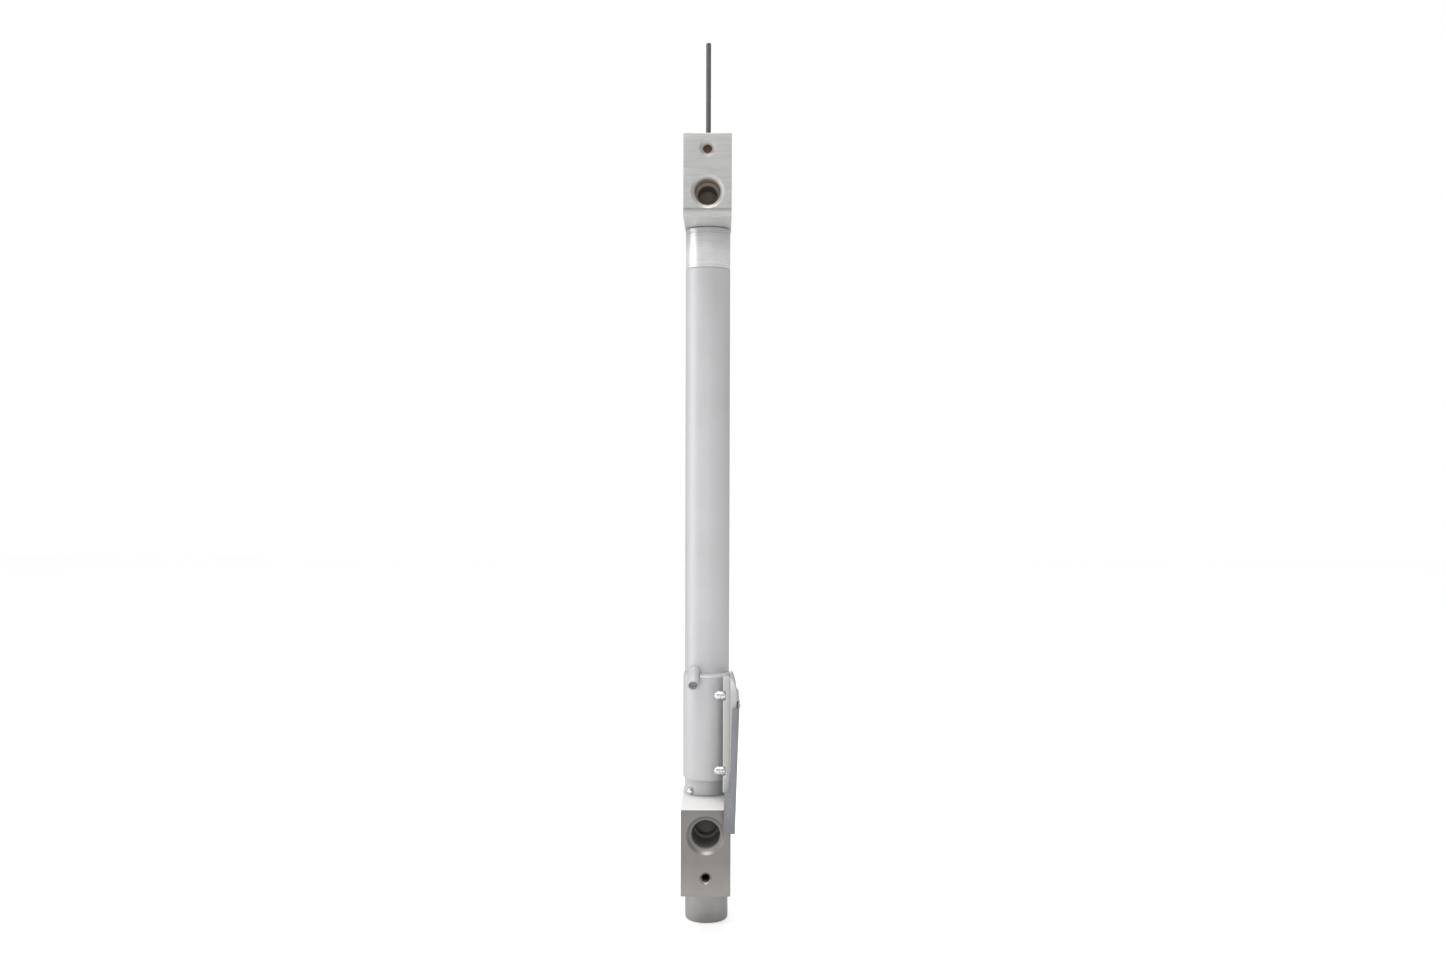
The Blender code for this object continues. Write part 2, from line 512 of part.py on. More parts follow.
def make_switch_unit():
    """A flat cast body with a rounded brow, closed by a dark cover that wraps its front and leaning outer side."""
    body = add_piece("switch_body", rounded_slab((UNIT_LEFT, -89 * MM, 52 * MM), (UNIT_SPLIT, UNIT_BACK, 171 * MM),
                                                 22 * MM, 5 * MM), "light_cast")
    cut(body, lean(add_cutter("body_outer_side", box_mesh((UNIT_SPLIT, -100 * MM, 0), (60 * MM, 10 * MM, COVER_TOP)))))
    dome = add_cutter("body_dome", rounded_slab((UNIT_LEFT, -86 * MM, COVER_TOP + GAP),
                                                (UNIT_RIGHT, UNIT_BACK - 4 * MM, 168.6 * MM), 16 * MM, 0.5 * MM))
    cut(body, dome, "UNION")
    cut(body, brow_cutter())
    cut(body, add_cutter("housing_clearance", box_mesh((20 * MM, -40 * MM, 20 * MM), (26.8 * MM, 0, 180 * MM))))
    cut(body, lean(add_cutter("body_pocket", box_mesh((POCKET_LEFT, -80 * MM, 84 * MM),
                                                      (UNIT_SPLIT + 2 * MM, -22 * MM, 134 * MM)))))
    cover = add_piece("switch_cover", rounded_slab((UNIT_SPLIT + 1.2 * MM, UNIT_FRONT, 2 * MM),
                                                   (UNIT_RIGHT, UNIT_BACK - 6 * MM, COVER_TOP), 8 * MM, 7 * MM),
                      "dark_plastic")
    front = add_cutter("cover_front", box_mesh((UNIT_LEFT + 2.1 * MM, UNIT_FRONT, 10 * MM),
                                               (UNIT_RIGHT - 0.4 * MM, UNIT_FRONT + 4.4 * MM, COVER_TOP - 6 * MM)))
    tongue = add_cutter("cover_tongue", rounded_slab((UNIT_LEFT - 3.2 * MM, UNIT_FRONT, 3.5 * MM),
                                                     (UNIT_RIGHT - 0.8 * MM, -89.6 * MM, 47 * MM), 1.5 * MM, 1.5 * MM))
    cut(cover, front, "UNION")
    cut(cover, tongue, "UNION")
    bevel(cover, 0.9 * MM, segments=2, angle=50)
    for number, (y, z) in enumerate(COVER_SCREWS, 1):
        hole = add_cutter(f"cover_hole_{number}", cylinder_mesh(1.7 * MM, 10 * MM, "X", 16),
                          (UNIT_SPLIT - 2 * MM, y, z))
        cut(cover, lean(hole))
        bolt = turned(f"cover_screw_{number}", [(0, 1.5 * MM), (1.9 * MM, 1.2 * MM), (2.8 * MM, 0), (1.4 * MM, 0),
                                                (1.4 * MM, -1.9 * MM), (0, -1.9 * MM)], "zinc", steps=16)
        bolt.rotation_euler = (0, math.pi / 2, 0)
        bolt.location = (UNIT_RIGHT + 0.1 * MM, y, z)
        lean(bolt)
    lean(cover)
    gasket = flat_outline("cover_gasket", [
        [(-84 * MM, 78 * MM), (-18 * MM, 78 * MM), (-18 * MM, 139 * MM), (-84 * MM, 139 * MM)],
        [(-80 * MM, 84 * MM), (-22 * MM, 84 * MM), (-22 * MM, 131 * MM), (-80 * MM, 131 * MM)]],
        0.6 * MM, "rubber", (UNIT_SPLIT + 0.6 * MM, 0, 0))
    gasket.rotation_euler = (math.pi / 2, 0, math.pi / 2)
    lean(gasket)


def make_switch_contents():
    left, board = POCKET_LEFT + GAP, 0.8 * MM
    lean(add_piece("switch_board", box_mesh((left, -78 * MM, 86 * MM), (left + board, -24 * MM, 132 * MM)),
                   "board_green"))
    base, height = left + board + GAP, 2 * MM
    for name, z in (("closed_limit_switch", 88 * MM), ("open_limit_switch", 120 * MM)):
        switch = add_piece(name, box_mesh((base, -64 * MM, z), (base + height, -44 * MM, z + 10 * MM)), "dark_plastic")
        bevel(switch, 0.4 * MM, 1)
        lean(switch)
    block = add_piece("terminal_block", box_mesh((base, -74 * MM, 101 * MM), (base + height, -62 * MM, 117 * MM)),
                      "white_plastic")
    bevel(block, 0.4 * MM, 1)
    lean(block)


# ---------------------------------------------------------------- motor

def make_motor_case():
    floor, bearing_top, way = CAN_BOTTOM + 1.6 * MM, CAN_BOTTOM + 6 * MM, 6.3 * MM
    ring("motor_can", [(CAN_R, CAN_TOP), (CAN_R, CAN_BOTTOM), (way, CAN_BOTTOM), (way, bearing_top),
                       (8 * MM, bearing_top), (8 * MM, floor), (CAN_BORE_R, floor), (CAN_BORE_R, CAN_TOP)],
         "gear_steel", steps=INNER_STEPS)
    plain_ring("motor_end_plate", CAN_R, way, CAN_TOP + GAP, CAN_TOP + 4.3 * MM, "light_cast", steps=INNER_STEPS)
    for name, low, high in (("rear_motor_bearing", CAN_BOTTOM + 0.2 * MM, bearing_top - 0.2 * MM),
                            ("front_motor_bearing", CAN_TOP + 0.5 * MM, CAN_TOP + 4.1 * MM)):
        plain_ring(name, MOTOR_BEARING_R, SHAFT_R + 0.15 * MM, low, high, "zinc", steps=SMALL_STEPS)
    brush_bottom = -97 * MM
    plain_ring("brush_holder", 17.8 * MM, 12.3 * MM, brush_bottom, brush_bottom + 3 * MM, "white_plastic",
               steps=SMALL_STEPS)
    for side, name in ((-1, "left_brush"), (1, "right_brush")):
        ends = sorted([side * 6.4 * MM, side * 12 * MM])
        add_piece(name, box_mesh((ends[0], -2 * MM, brush_bottom), (ends[1], 2 * MM, brush_bottom + 3.4 * MM)),
                  "ferrite")


def arc_loop(inner, outer, half_angle, middle, steps=14):
    """The outline of a thick arc, for a motor magnet."""
    turns = [middle + half_angle * (2 * i / steps - 1) for i in range(steps + 1)]
    outside = [(outer * math.cos(math.radians(a)), outer * math.sin(math.radians(a))) for a in turns]
    inside = [(inner * math.cos(math.radians(a)), inner * math.sin(math.radians(a))) for a in reversed(turns)]
    return outside + inside


def slotted_loop(outer, slot_depth, slots):
    """The rotor's outline, with a slot between each pair of poles."""
    points = []
    for i in range(slots):
        for radius, share in ((outer, -0.34), (outer, 0), (outer, 0.34), (outer - slot_depth, 0.4),
                              (outer - slot_depth, 0.6)):
            a = math.tau * (i + share) / slots
            points.append((radius * math.cos(a), radius * math.sin(a)))
    return points


def make_rotor(body):
    turned("motor_shaft", [(0, SHAFT_TOP), (SHAFT_R, SHAFT_TOP), (SHAFT_R, SHAFT_BOTTOM), (0, SHAFT_BOTTOM)],
           "zinc", parent=body, steps=SMALL_STEPS)
    flat_outline("rotor_core", [slotted_loop(13.9 * MM, 5 * MM, 10), circle_loop(ON_SHAFT_R)], 40 * MM,
                 "gear_steel", (0, 0, ROTOR_MIDDLE), body)
    plain_ring("commutator", 6 * MM, ON_SHAFT_R, -97.6 * MM, -91 * MM, "copper", body, SMALL_STEPS)
    for middle, name in ((90, "upper_magnet"), (270, "lower_magnet")):
        flat_outline(name, [arc_loop(14.5 * MM, 17.9 * MM, 66, middle)], 44 * MM, "ferrite", (0, 0, ROTOR_MIDDLE))


# ---------------------------------------------------------------- planetary stage

def tooth_loop(teeth, tip, root, share_tip, share_root, phase=0.0):
    """A gear's outline: each tooth is a trapezium between the root and tip circles, centred at the phase in teeth."""
    points = []
    for i in range(teeth):
        for radius, share in ((root, -share_root), (tip, -share_tip), (tip, share_tip), (root, share_root)):
            a = math.tau * (i + phase + share / 2) / teeth
            points.append((radius * math.cos(a), radius * math.sin(a)))
    return points


def external_gear(name, teeth, bore, finish, place, phase, parent):
    pitch_r = MODULE * teeth / 2
    outline = tooth_loop(teeth, pitch_r + 0.85 * MODULE, pitch_r - 1.2 * MODULE, 0.20, 0.56, phase)
    flat_outline(name, [outline, circle_loop(bore, 16)], GEAR_TOP - GEAR_BOTTOM, finish, place, parent)


def make_ring_gear():
    pitch_r = MODULE * RING_TEETH / 2
    inside = tooth_loop(RING_TEETH, pitch_r + 1.2 * MODULE, pitch_r - 0.85 * MODULE, 0.42, 0.80, 0.5)
    low = -29.4 * MM
    flat_outline("ring_gear", [circle_loop(CAN_R, INNER_STEPS), inside], GEAR_TOP - low + GAP, "gear_steel",
                 (0, 0, (GEAR_TOP + low + GAP) / 2))


def make_gears(motor, carrier, planets):
    middle = (GEAR_TOP + GEAR_BOTTOM) / 2
    external_gear("sun_gear", SUN_TEETH, ON_SHAFT_R, "gear_steel", (0, 0, middle), 0.0, motor)
    holes = []
    for number, (angle, body) in enumerate(zip(PLANET_ANGLES, planets), 1):
        x, y = body.location.x, body.location.y
        # a gap of the planet faces the sun's tooth, so its teeth are half a pitch off that line
        phase = angle / 360 * PLANET_TEETH + 0.5
        external_gear(f"planet_gear_{number}", PLANET_TEETH, 2.05 * MM, "gear_steel", (x, y, middle), phase, body)
        add_piece(f"planet_pin_{number}", cylinder_mesh(1.85 * MM, 16.2 * MM, steps=16), "zinc",
                  (x, y, -25.6 * MM), carrier)
        holes.append(circle_loop(2.05 * MM, 16, (x, y)))
    flat_outline("planet_carrier", [circle_loop(14.4 * MM, INNER_STEPS), circle_loop(4.2 * MM, SMALL_STEPS)] + holes,
                 4 * MM, "gear_steel", (0, 0, -11.4 * MM), carrier)


# ---------------------------------------------------------------- lead screw and its bearing

def thread_mesh(crest, root, pitch, low, high, steps=8):
    """A closed right-hand thread: one helix along the crest and one along the root, joined by flanks."""
    turns = round((high - low) / pitch)
    count = turns * steps
    mesh = bpy.data.meshes.new("thread")
    made = bmesh.new()

    def helix(radius, start, length):
        return [made.verts.new((radius * math.cos(math.tau * k / steps), radius * math.sin(math.tau * k / steps),
                                start + pitch * k / steps)) for k in range(length)]

    roots = helix(root, low, count + steps + 1)
    crests = helix(crest, low + pitch / 2, count + 1)
    for k in range(count):
        made.faces.new((roots[k], roots[k + 1], crests[k + 1], crests[k]))
        made.faces.new((crests[k], crests[k + 1], roots[k + steps + 1], roots[k + steps]))
    bottom = made.verts.new((0, 0, low - pitch / 2))
    top = made.verts.new((0, 0, high + 1.5 * pitch))
    lower_rim = roots[:steps + 1] + [crests[0]]
    upper_rim = roots[count:count + steps + 1] + [crests[count]]
    for i, vert in enumerate(lower_rim):
        made.faces.new((bottom, lower_rim[(i + 1) % len(lower_rim)], vert))
    for i, vert in enumerate(upper_rim):
        made.faces.new((top, vert, upper_rim[(i + 1) % len(upper_rim)]))
    bmesh.ops.recalc_face_normals(made, faces=made.faces)
    made.to_mesh(mesh)
    made.free()
    return mesh


def make_screw(body):
    thread = add_piece("lead_screw", thread_mesh(SCREW_CREST_R, SCREW_ROOT_R, SCREW_PITCH, THREAD_BOTTOM, THREAD_TOP),
                       "zinc", parent=body)
    journal = add_cutter("screw_journal", cylinder_mesh(4 * MM, THREAD_BOTTOM + 19 * MM, steps=SMALL_STEPS),
                         (0, 0, -13.2 * MM))
    cut(thread, journal, "UNION")
    plain_ring("screw_bearing", 15 * MM, 4.2 * MM, 2 * MM, 12 * MM, "gear_steel", steps=INNER_STEPS)
    plain_ring("bearing_lock_nut", 8 * MM, 4.2 * MM, 12.4 * MM, 18 * MM, "zinc", body, SMALL_STEPS)
    ring("bearing_housing", [(CAN_R, 26 * MM), (CAN_R, -8.8 * MM), (8 * MM, -8.8 * MM), (8 * MM, 1.7 * MM),
                             (15.2 * MM, 1.7 * MM), (15.2 * MM, 26 * MM)], "light_cast", steps=INNER_STEPS)


# ---------------------------------------------------------------- carriage, push tube and rod

def make_rod(body):
    """The drive nut with its glide and magnet ring, the push tube, and the rod in the plug at its end."""
    flange_top, flange_r, bore = NUT_BOTTOM + 26 * MM, 13 * MM, SCREW_CREST_R + 0.4 * MM
    spigot_r, on_flange_r = PUSH_TUBE_BORE_R - GAP, flange_r + GAP
    ring("drive_nut", [(spigot_r, NUT_TOP), (spigot_r, flange_top), (flange_r, flange_top), (flange_r, NUT_BOTTOM),
                       (bore, NUT_BOTTOM), (bore, NUT_TOP)], "bronze", parent=body, steps=INNER_STEPS)
    glide_top = NUT_BOTTOM + 20 * MM
    plain_ring("nut_glide", TUBE_BORE_R - RUNNING_GAP, on_flange_r, NUT_BOTTOM, glide_top, "white_plastic", body,
               INNER_STEPS)
    plain_ring("position_magnet", 20 * MM, on_flange_r, glide_top + GAP, flange_top - MM, "ferrite", body, INNER_STEPS)
    plain_ring("push_tube", PUSH_TUBE_R, PUSH_TUBE_BORE_R, PUSH_TUBE_BOTTOM, PUSH_TUBE_TOP, "zinc", body, INNER_STEPS)
    plug_bottom, plug_top, seat_r = PUSH_TUBE_TOP - 9 * MM, PUSH_TUBE_TOP + 9 * MM, ROD_R + 0.15 * MM
    ring("rod_plug", [(PUSH_TUBE_R, plug_top), (PUSH_TUBE_R, PUSH_TUBE_TOP + GAP), (spigot_r, PUSH_TUBE_TOP + GAP),
                      (spigot_r, plug_bottom), (seat_r, plug_bottom), (seat_r, plug_top)],
         "gear_steel", parent=body, steps=SMALL_STEPS)
    rod_bottom, chamfer = plug_bottom + 0.4 * MM, 0.6 * MM
    turned("push_rod", [(0, ROD_TIP), (ROD_R - chamfer, ROD_TIP), (ROD_R, ROD_TIP - chamfer), (ROD_R, rod_bottom),
                        (0, rod_bottom)], "rod_steel", parent=body, steps=SMALL_STEPS)


# ---------------------------------------------------------------- the arm

def smooth_round_pieces():
    for obj in ARM.objects:
        if obj.type == "MESH":
            obj.data.shade_smooth()
            obj.data.set_sharp_from_angle(angle=math.radians(35))


clear_scene()
ARM = new_collection("gate_opener_arm")
CUTTERS = new_collection("cutters")

MOTOR = moving_body("motor_axis")
SCREW = moving_body("screw_axis")
ROD = moving_body("rod_axis")
PLANETS = [moving_body(f"planet_axis_{number}", (PLANET_ORBIT_R * math.cos(math.radians(angle)),
                                                 PLANET_ORBIT_R * math.sin(math.radians(angle)), 0))
           for number, angle in enumerate(PLANET_ANGLES, 1)]

make_rear_block()
make_front_block()
make_hole_fittings()
make_tube()
make_collar()
make_end_cap()
make_housing_fittings(make_housing())
make_bracket()
make_switch_unit()
make_switch_contents()
make_motor_case()
make_rotor(MOTOR)
make_ring_gear()
make_gears(MOTOR, SCREW, PLANETS)
make_screw(SCREW)
make_rod(ROD)
smooth_round_pieces()
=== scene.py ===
"""The looks of the gate opener arm: its finishes, and the finely made versions of the pieces that show."""

import json
import math

import bmesh
import bpy
from mathutils import Matrix, Vector


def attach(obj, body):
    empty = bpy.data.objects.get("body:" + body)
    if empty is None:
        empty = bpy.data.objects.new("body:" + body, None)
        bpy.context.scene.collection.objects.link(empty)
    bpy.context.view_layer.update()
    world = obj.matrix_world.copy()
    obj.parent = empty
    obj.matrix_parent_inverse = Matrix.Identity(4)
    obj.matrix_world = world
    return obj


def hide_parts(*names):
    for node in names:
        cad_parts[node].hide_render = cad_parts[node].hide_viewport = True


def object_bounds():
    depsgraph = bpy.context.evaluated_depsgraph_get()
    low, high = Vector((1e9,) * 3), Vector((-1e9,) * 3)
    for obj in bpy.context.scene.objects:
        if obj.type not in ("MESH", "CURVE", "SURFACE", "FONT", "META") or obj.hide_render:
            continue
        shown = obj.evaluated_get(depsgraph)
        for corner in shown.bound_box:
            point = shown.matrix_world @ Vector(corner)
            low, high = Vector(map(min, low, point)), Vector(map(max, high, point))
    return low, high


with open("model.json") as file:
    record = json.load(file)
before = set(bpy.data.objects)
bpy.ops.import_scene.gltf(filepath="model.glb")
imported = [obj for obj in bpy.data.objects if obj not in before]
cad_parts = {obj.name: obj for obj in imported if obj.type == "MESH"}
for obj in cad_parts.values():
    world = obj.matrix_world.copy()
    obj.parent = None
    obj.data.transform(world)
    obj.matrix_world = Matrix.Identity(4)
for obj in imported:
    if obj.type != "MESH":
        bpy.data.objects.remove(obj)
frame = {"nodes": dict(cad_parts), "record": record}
CAD_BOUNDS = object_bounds()

MM = 0.001
SOFT_EDGE = 30                      # degrees: edges sharper than this stay sharp
FINE = 128                          # segments round a large turned piece
MEDIUM = 64
SMALL = 40

# The dimensions below are millimetres and degrees. They are those of the CAD nodes that the pieces replace.
GAP = 0.3                           # left between pieces that touch

# mounting blocks, cap, tube, collar and rod
BLOCK_FRONT, BLOCK_BACK = -86, 27
REAR_BLOCK_HALF, REAR_BLOCK_BOTTOM, REAR_BLOCK_TOP = 26.9, -66, 28
FRONT_BLOCK_HALF, FRONT_BLOCK_BOTTOM, FRONT_BLOCK_TOP = 25.9, 663, 752
REAR_SOCKET = {"mouth": 20.8, "bore": 15.6, "step": 49, "inner": 12.4, "depth": 62}
FRONT_SOCKET = {"mouth": 17.8, "bore": 14, "step": 26, "inner": 10.5, "depth": 58}
REAR_SOCKET_Z, FRONT_SOCKET_Z = 0, 690
REAR_HOLE_Z, FRONT_HOLE_Z = -46, 736
HOLE_ROOT_R, HOLE_CREST_R, HOLE_DEPTH = 5.3, 4.85, 26
MOTOR_BORE_R = 20
END_CAP_R, END_CAP_BORE_R = 24.2, 20.3
END_CAP_BOTTOM, END_CAP_FLOOR = -115, -106
GLAND_Z, GLAND_SEAT, CORD_R = -90, 29.5, 3.7
TUBE_R, TUBE_BORE_R = 25, 22
TUBE_BOTTOM, TUBE_TOP = 28.3, 617.7
COLLAR_BOTTOM, COLLAR_TOP = 618, 662.7
ROD_R, ROD_TIP, ROD_BOTTOM = 2.8, 872.5, 331.4

# housing, elbow and drain screw
HOUSING_R, HOUSING_SHIFT = 26.4, 14
HOUSING_BOTTOM, HOUSING_TOP = 47, 165
HOUSING_EDGE_R = 3.2
ELBOW_BEND = (-14.4, -33, 167.5)
ELBOW_R, ELBOW_LENGTH, ELBOW_TILT = 6.4, 24, 28
ELBOW_RECESS_R, ELBOW_RECESS_BOTTOM = 5, 20
DRAIN_Z, DRAIN_TURN, DRAIN_SEAT = 32.4, -45, 25.3

# bracket
PLATE_LOW, PLATE_HIGH = (18.3, -64, 41), (26.1, -41.5, 166)
BRACKET_SCREW_Y, BRACKET_SCREW_Z = -56.5, (64.1, 146.4)
BRACKET_HOLE_R, SCREW_SEAT, SPACER_R = 2.6, 15, 4.9

# switch unit
UNIT_LEFT, UNIT_SPLIT, UNIT_RIGHT = 26.4, 32.9, 35.9
UNIT_FRONT, COVER_TOP = -94, 144
COVER_INSIDE = UNIT_SPLIT + 1.2
COVER_SCREWS = [(-24, 12), (-24, 134), (-78, 138)]      # (y, z)
UNIT_LEAN, UNIT_PIVOT_X, UNIT_PIVOT_Z = 1.9, 34.1, 143

# where the bores take an oiled tone and painted shade: (height, radius, y past which the painted shade is
# darker still)
OIL_AND_SHADE_FRONT = [(FRONT_SOCKET_Z, 15.2, -60), (FRONT_HOLE_Z, 5.5, -60)]
OIL_AND_SHADE_REAR = [(REAR_SOCKET_Z, 18, -37.5), (REAR_HOLE_Z, 5.5, -70)]
BORES_END = -16                     # y behind which no bore reaches
REAR_FRONT_PAINTED_SHADE = (-60, -28)     # heights between which painted shade darkens the rear block's front

# the studio, in metres, watts and degrees
FLOOR_SIZE = 12.0
FILL = 0.55                         # the surround's strength, where it isn't seen directly
PAPER_GLOW = 0.45                   # how much lighter the floor looks than its light makes it
OVERHEAD = {"place": (-0.3, -0.7, 2.6), "aim": (0, 0, 0.4), "size": (1.8, 1.4), "power": 38}
LEFT_STRIP = {"place": (-1.4, -0.15, 0.6), "aim": (0, 0, 0.4), "size": (0.9, 1.8), "power": 9}
FRONT_FILL = {"place": (-0.05, -2.3, 0.5), "aim": (0, 0, 0.3), "size": (1.2, 1.2), "power": 11}
CAMERA_PLACE = (0.017, -1.584, 0.400)
CAMERA_LENS, SENSOR_WIDTH = 34.9, 36    # millimetres
CAMERA_PITCH, CAMERA_ROLL = -0.757, 0.166


# ---------------------------------------------------------------- node helpers

class Nodes:
    """A material's node tree, with short calls for the nodes that the finishes share."""

    def __init__(self, name, colour, metallic, roughness):
        self.material = bpy.data.materials.new(name)
        self.material.use_nodes = True
        self.tree = self.material.node_tree
        self.shader = self.tree.nodes["Principled BSDF"]
        self.shader.inputs["Base Color"].default_value = (*colour, 1)
        self.shader.inputs["Metallic"].default_value = metallic
        self.shader.inputs["Roughness"].default_value = roughness
        self.material.diffuse_color = (*colour, 1)
        self.coords = self.add("ShaderNodeTexCoord").outputs["Object"]

    def add(self, kind, **settings):
        node = self.tree.nodes.new(kind)
        for key, value in settings.items():
            setattr(node, key, value)
        return node

    def link(self, source, target):
        self.tree.links.new(source, target)

    def stretched(self, scale):
        """The object's coordinates scaled by a different amount along each axis."""
        mapping = self.add("ShaderNodeMapping")
        mapping.inputs["Scale"].default_value = scale
        self.link(self.coords, mapping.inputs["Vector"])
        return mapping.outputs["Vector"]

    def place(self):
        """The object's x, y and z in metres."""
        node = self.add("ShaderNodeSeparateXYZ")
        self.link(self.coords, node.inputs["Vector"])
        return node.outputs["X"], node.outputs["Y"], node.outputs["Z"]

    def noise(self, scale, detail=3.0, rough=0.55, vector=None):
        """Noise with a feature about 1/scale metres across, where the vector isn't stretched."""
        node = self.add("ShaderNodeTexNoise")
        node.inputs["Scale"].default_value = scale
        node.inputs["Detail"].default_value = detail
        node.inputs["Roughness"].default_value = rough
        self.link(vector or self.coords, node.inputs["Vector"])
        return node.outputs["Fac"]

    def ramp(self, factor, low, high, dark, light):
        """A colour between dark and light as the factor goes from low to high."""
        node = self.add("ShaderNodeValToRGB")
        first, second = node.color_ramp.elements
        first.position, second.position = low, high
        first.color, second.color = (*dark, 1), (*light, 1)
        self.link(factor, node.inputs["Fac"])
        return node.outputs["Color"]

    def span(self, factor, low, high, to_low, to_high):
        node = self.add("ShaderNodeMapRange")
        for key, value in (("From Min", low), ("From Max", high), ("To Min", to_low), ("To Max", to_high)):
            node.inputs[key].default_value = value
        self.link(factor, node.inputs["Value"])
        return node.outputs["Result"]

    def mix(self, factor, first, second, blend="MIX"):
        node = self.add("ShaderNodeMix", data_type="RGBA", blend_type=blend)
        for value, index in ((factor, 0), (first, 6), (second, 7)):
            if isinstance(value, (float, int)):
                node.inputs[index].default_value = value
            elif isinstance(value, tuple):
                node.inputs[index].default_value = (*value, 1)
            else:
                self.link(value, node.inputs[index])
        return node.outputs[2]

    def maths(self, operation, first, second=0.0):
        node = self.add("ShaderNodeMath", operation=operation)
        for value, index in ((first, 0), (second, 1)):
            if isinstance(value, (float, int)):
                node.inputs[index].default_value = value
            else:
                self.link(value, node.inputs[index])
        return node.outputs["Value"]

    def bump(self, height, strength, distance, under=None):
        node = self.add("ShaderNodeBump")
        node.inputs["Strength"].default_value = strength
        node.inputs["Distance"].default_value = distance
        self.link(height, node.inputs["Height"])
        if under is not None:
            self.link(under, node.inputs["Normal"])
        return node.outputs["Normal"]

    def finish(self, colour=None, roughness=None, normal=None):
        for value, key in ((colour, "Base Color"), (roughness, "Roughness"), (normal, "Normal")):
            if value is not None:
                self.link(value, self.shader.inputs[key])
        return self.material


def shade(colour, factor):
    return tuple(min(1.0, c * factor) for c in colour)


# ---------------------------------------------------------------- finishes

def painted(name, colour, metallic, roughness, peel=0.25):
    """Sprayed paint: a fine orange-peel surface, faint clouding and a few dull specks."""
    n = Nodes(name, colour, metallic, roughness)
    clouds = n.noise(14, 4)
    specks = n.noise(900, 2)
    tone = n.ramp(clouds, 0.3, 0.7, shade(colour, 0.95), shade(colour, 1.04))
    worn = n.mix(n.span(specks, 0.66, 0.74, 0.0, 0.35), tone, shade(colour, 0.72))
    normal = n.bump(n.noise(420, 2), peel, 0.0002)
    return n.finish(worn, n.span(clouds, 0.3, 0.7, roughness - 0.05, roughness + 0.07), normal)


def oiled_and_shaded_bores(n, place, bores, colour, deep_shade, tone, rough, metal):
    """Gives what lies within each bore an oiled tone that is partly painted shade, more roughness and less
    metal. Past the bore's step it gets a darker painted shade.
    """
    x, y, z = place
    behind_face = n.maths("MULTIPLY", n.span(y, (BLOCK_FRONT + 0.7) * MM, (BLOCK_FRONT + 2) * MM, 0.0, 1.0),
                          n.span(y, (BORES_END - 2) * MM, BORES_END * MM, 1.0, 0.0))
    for height, radius, step in bores:
        rise = n.maths("SUBTRACT", z, height * MM)
        away = n.maths("SQRT", n.maths("ADD", n.maths("MULTIPLY", x, x), n.maths("POWER", rise, 2.0)))
        near = n.span(away, (radius - 0.4) * MM, (radius + 0.2) * MM, 1.0, 0.0)
        inside = n.maths("MULTIPLY", near, behind_face)
        past_step = n.maths("MULTIPLY", inside, n.span(y, (step - 0.5) * MM, (step + 0.5) * MM, 0.0, 1.0))
        # an oiled tone partly painted as shade, and darker painted shade past the step
        tone = n.mix(past_step, n.mix(inside, tone, colour), shade(colour, deep_shade))
        rough = n.maths("ADD", rough, n.maths("MULTIPLY", inside, 0.2))
        metal = n.maths("MULTIPLY", metal, n.maths("SUBTRACT", 1.0, n.maths("MULTIPLY", inside, 0.6)))
    return tone, rough, metal


def painted_shade_and_top_light(n, place, colour, top, lit_top_colour, tone, metal):
    """Painted shade and light on a block: its front darkens upwards as painted shade, and its top face is
    pale and less metal as painted light.
    """
    z = place[2]
    low, high = REAR_FRONT_PAINTED_SHADE
    # painted shade: the front darkens upwards
    tone = n.mix(n.span(z, low * MM, high * MM, 0.0, 0.9), tone, shade(colour, 0.74))
    # painted light: the top face is paler and less metal
    lit = n.span(z, (top - 0.9) * MM, (top - 0.2) * MM, 0.0, 1.0)
    return n.mix(lit, tone, lit_top_colour), n.maths("MULTIPLY", metal, n.maths("SUBTRACT", 1.0, lit))


def milled(name, colour, warm, metallic, stain, bores, bore_colour, deep_shade, roughness=0.42,
           top=None, lit_top_colour=None):
    """A milled steel face: cutter lines, blotches of warm oxide and fine scratches, and bores with an oiled
    tone partly painted as shade. Given a top, its front gets painted shade and its top face painted light.
    """
    n = Nodes(name, colour, metallic, roughness)
    blotch = n.noise(38, 5, 0.6)
    lines = n.noise(1.0, 3, 0.6, n.stretched((40, 900, 900)))
    scratches = n.noise(1.0, 2, 0.5, n.stretched((1500, 1500, 60)))
    tone = n.ramp(lines, 0.3, 0.7, shade(colour, 0.9), shade(colour, 1.06))
    tone = n.mix(n.span(blotch, 0.48, 0.75, 0.0, stain), tone, warm)
    rough = n.maths("ADD", n.span(lines, 0.3, 0.7, roughness - 0.08, roughness + 0.06),
                    n.span(blotch, 0.4, 0.7, 0.0, 0.08))
    place = n.place()
    tone, rough, metal = oiled_and_shaded_bores(n, place, bores, bore_colour, deep_shade, tone, rough, metallic)
    # painted shade on the front and painted light on the top face
    if top is not None:
        tone, metal = painted_shade_and_top_light(n, place, colour, top, lit_top_colour, tone, metal)
    n.link(metal, n.shader.inputs["Metallic"])
    normal = n.bump(lines, 0.16, 0.00008)
    return n.finish(tone, rough, n.bump(scratches, 0.08, 0.00006, normal))


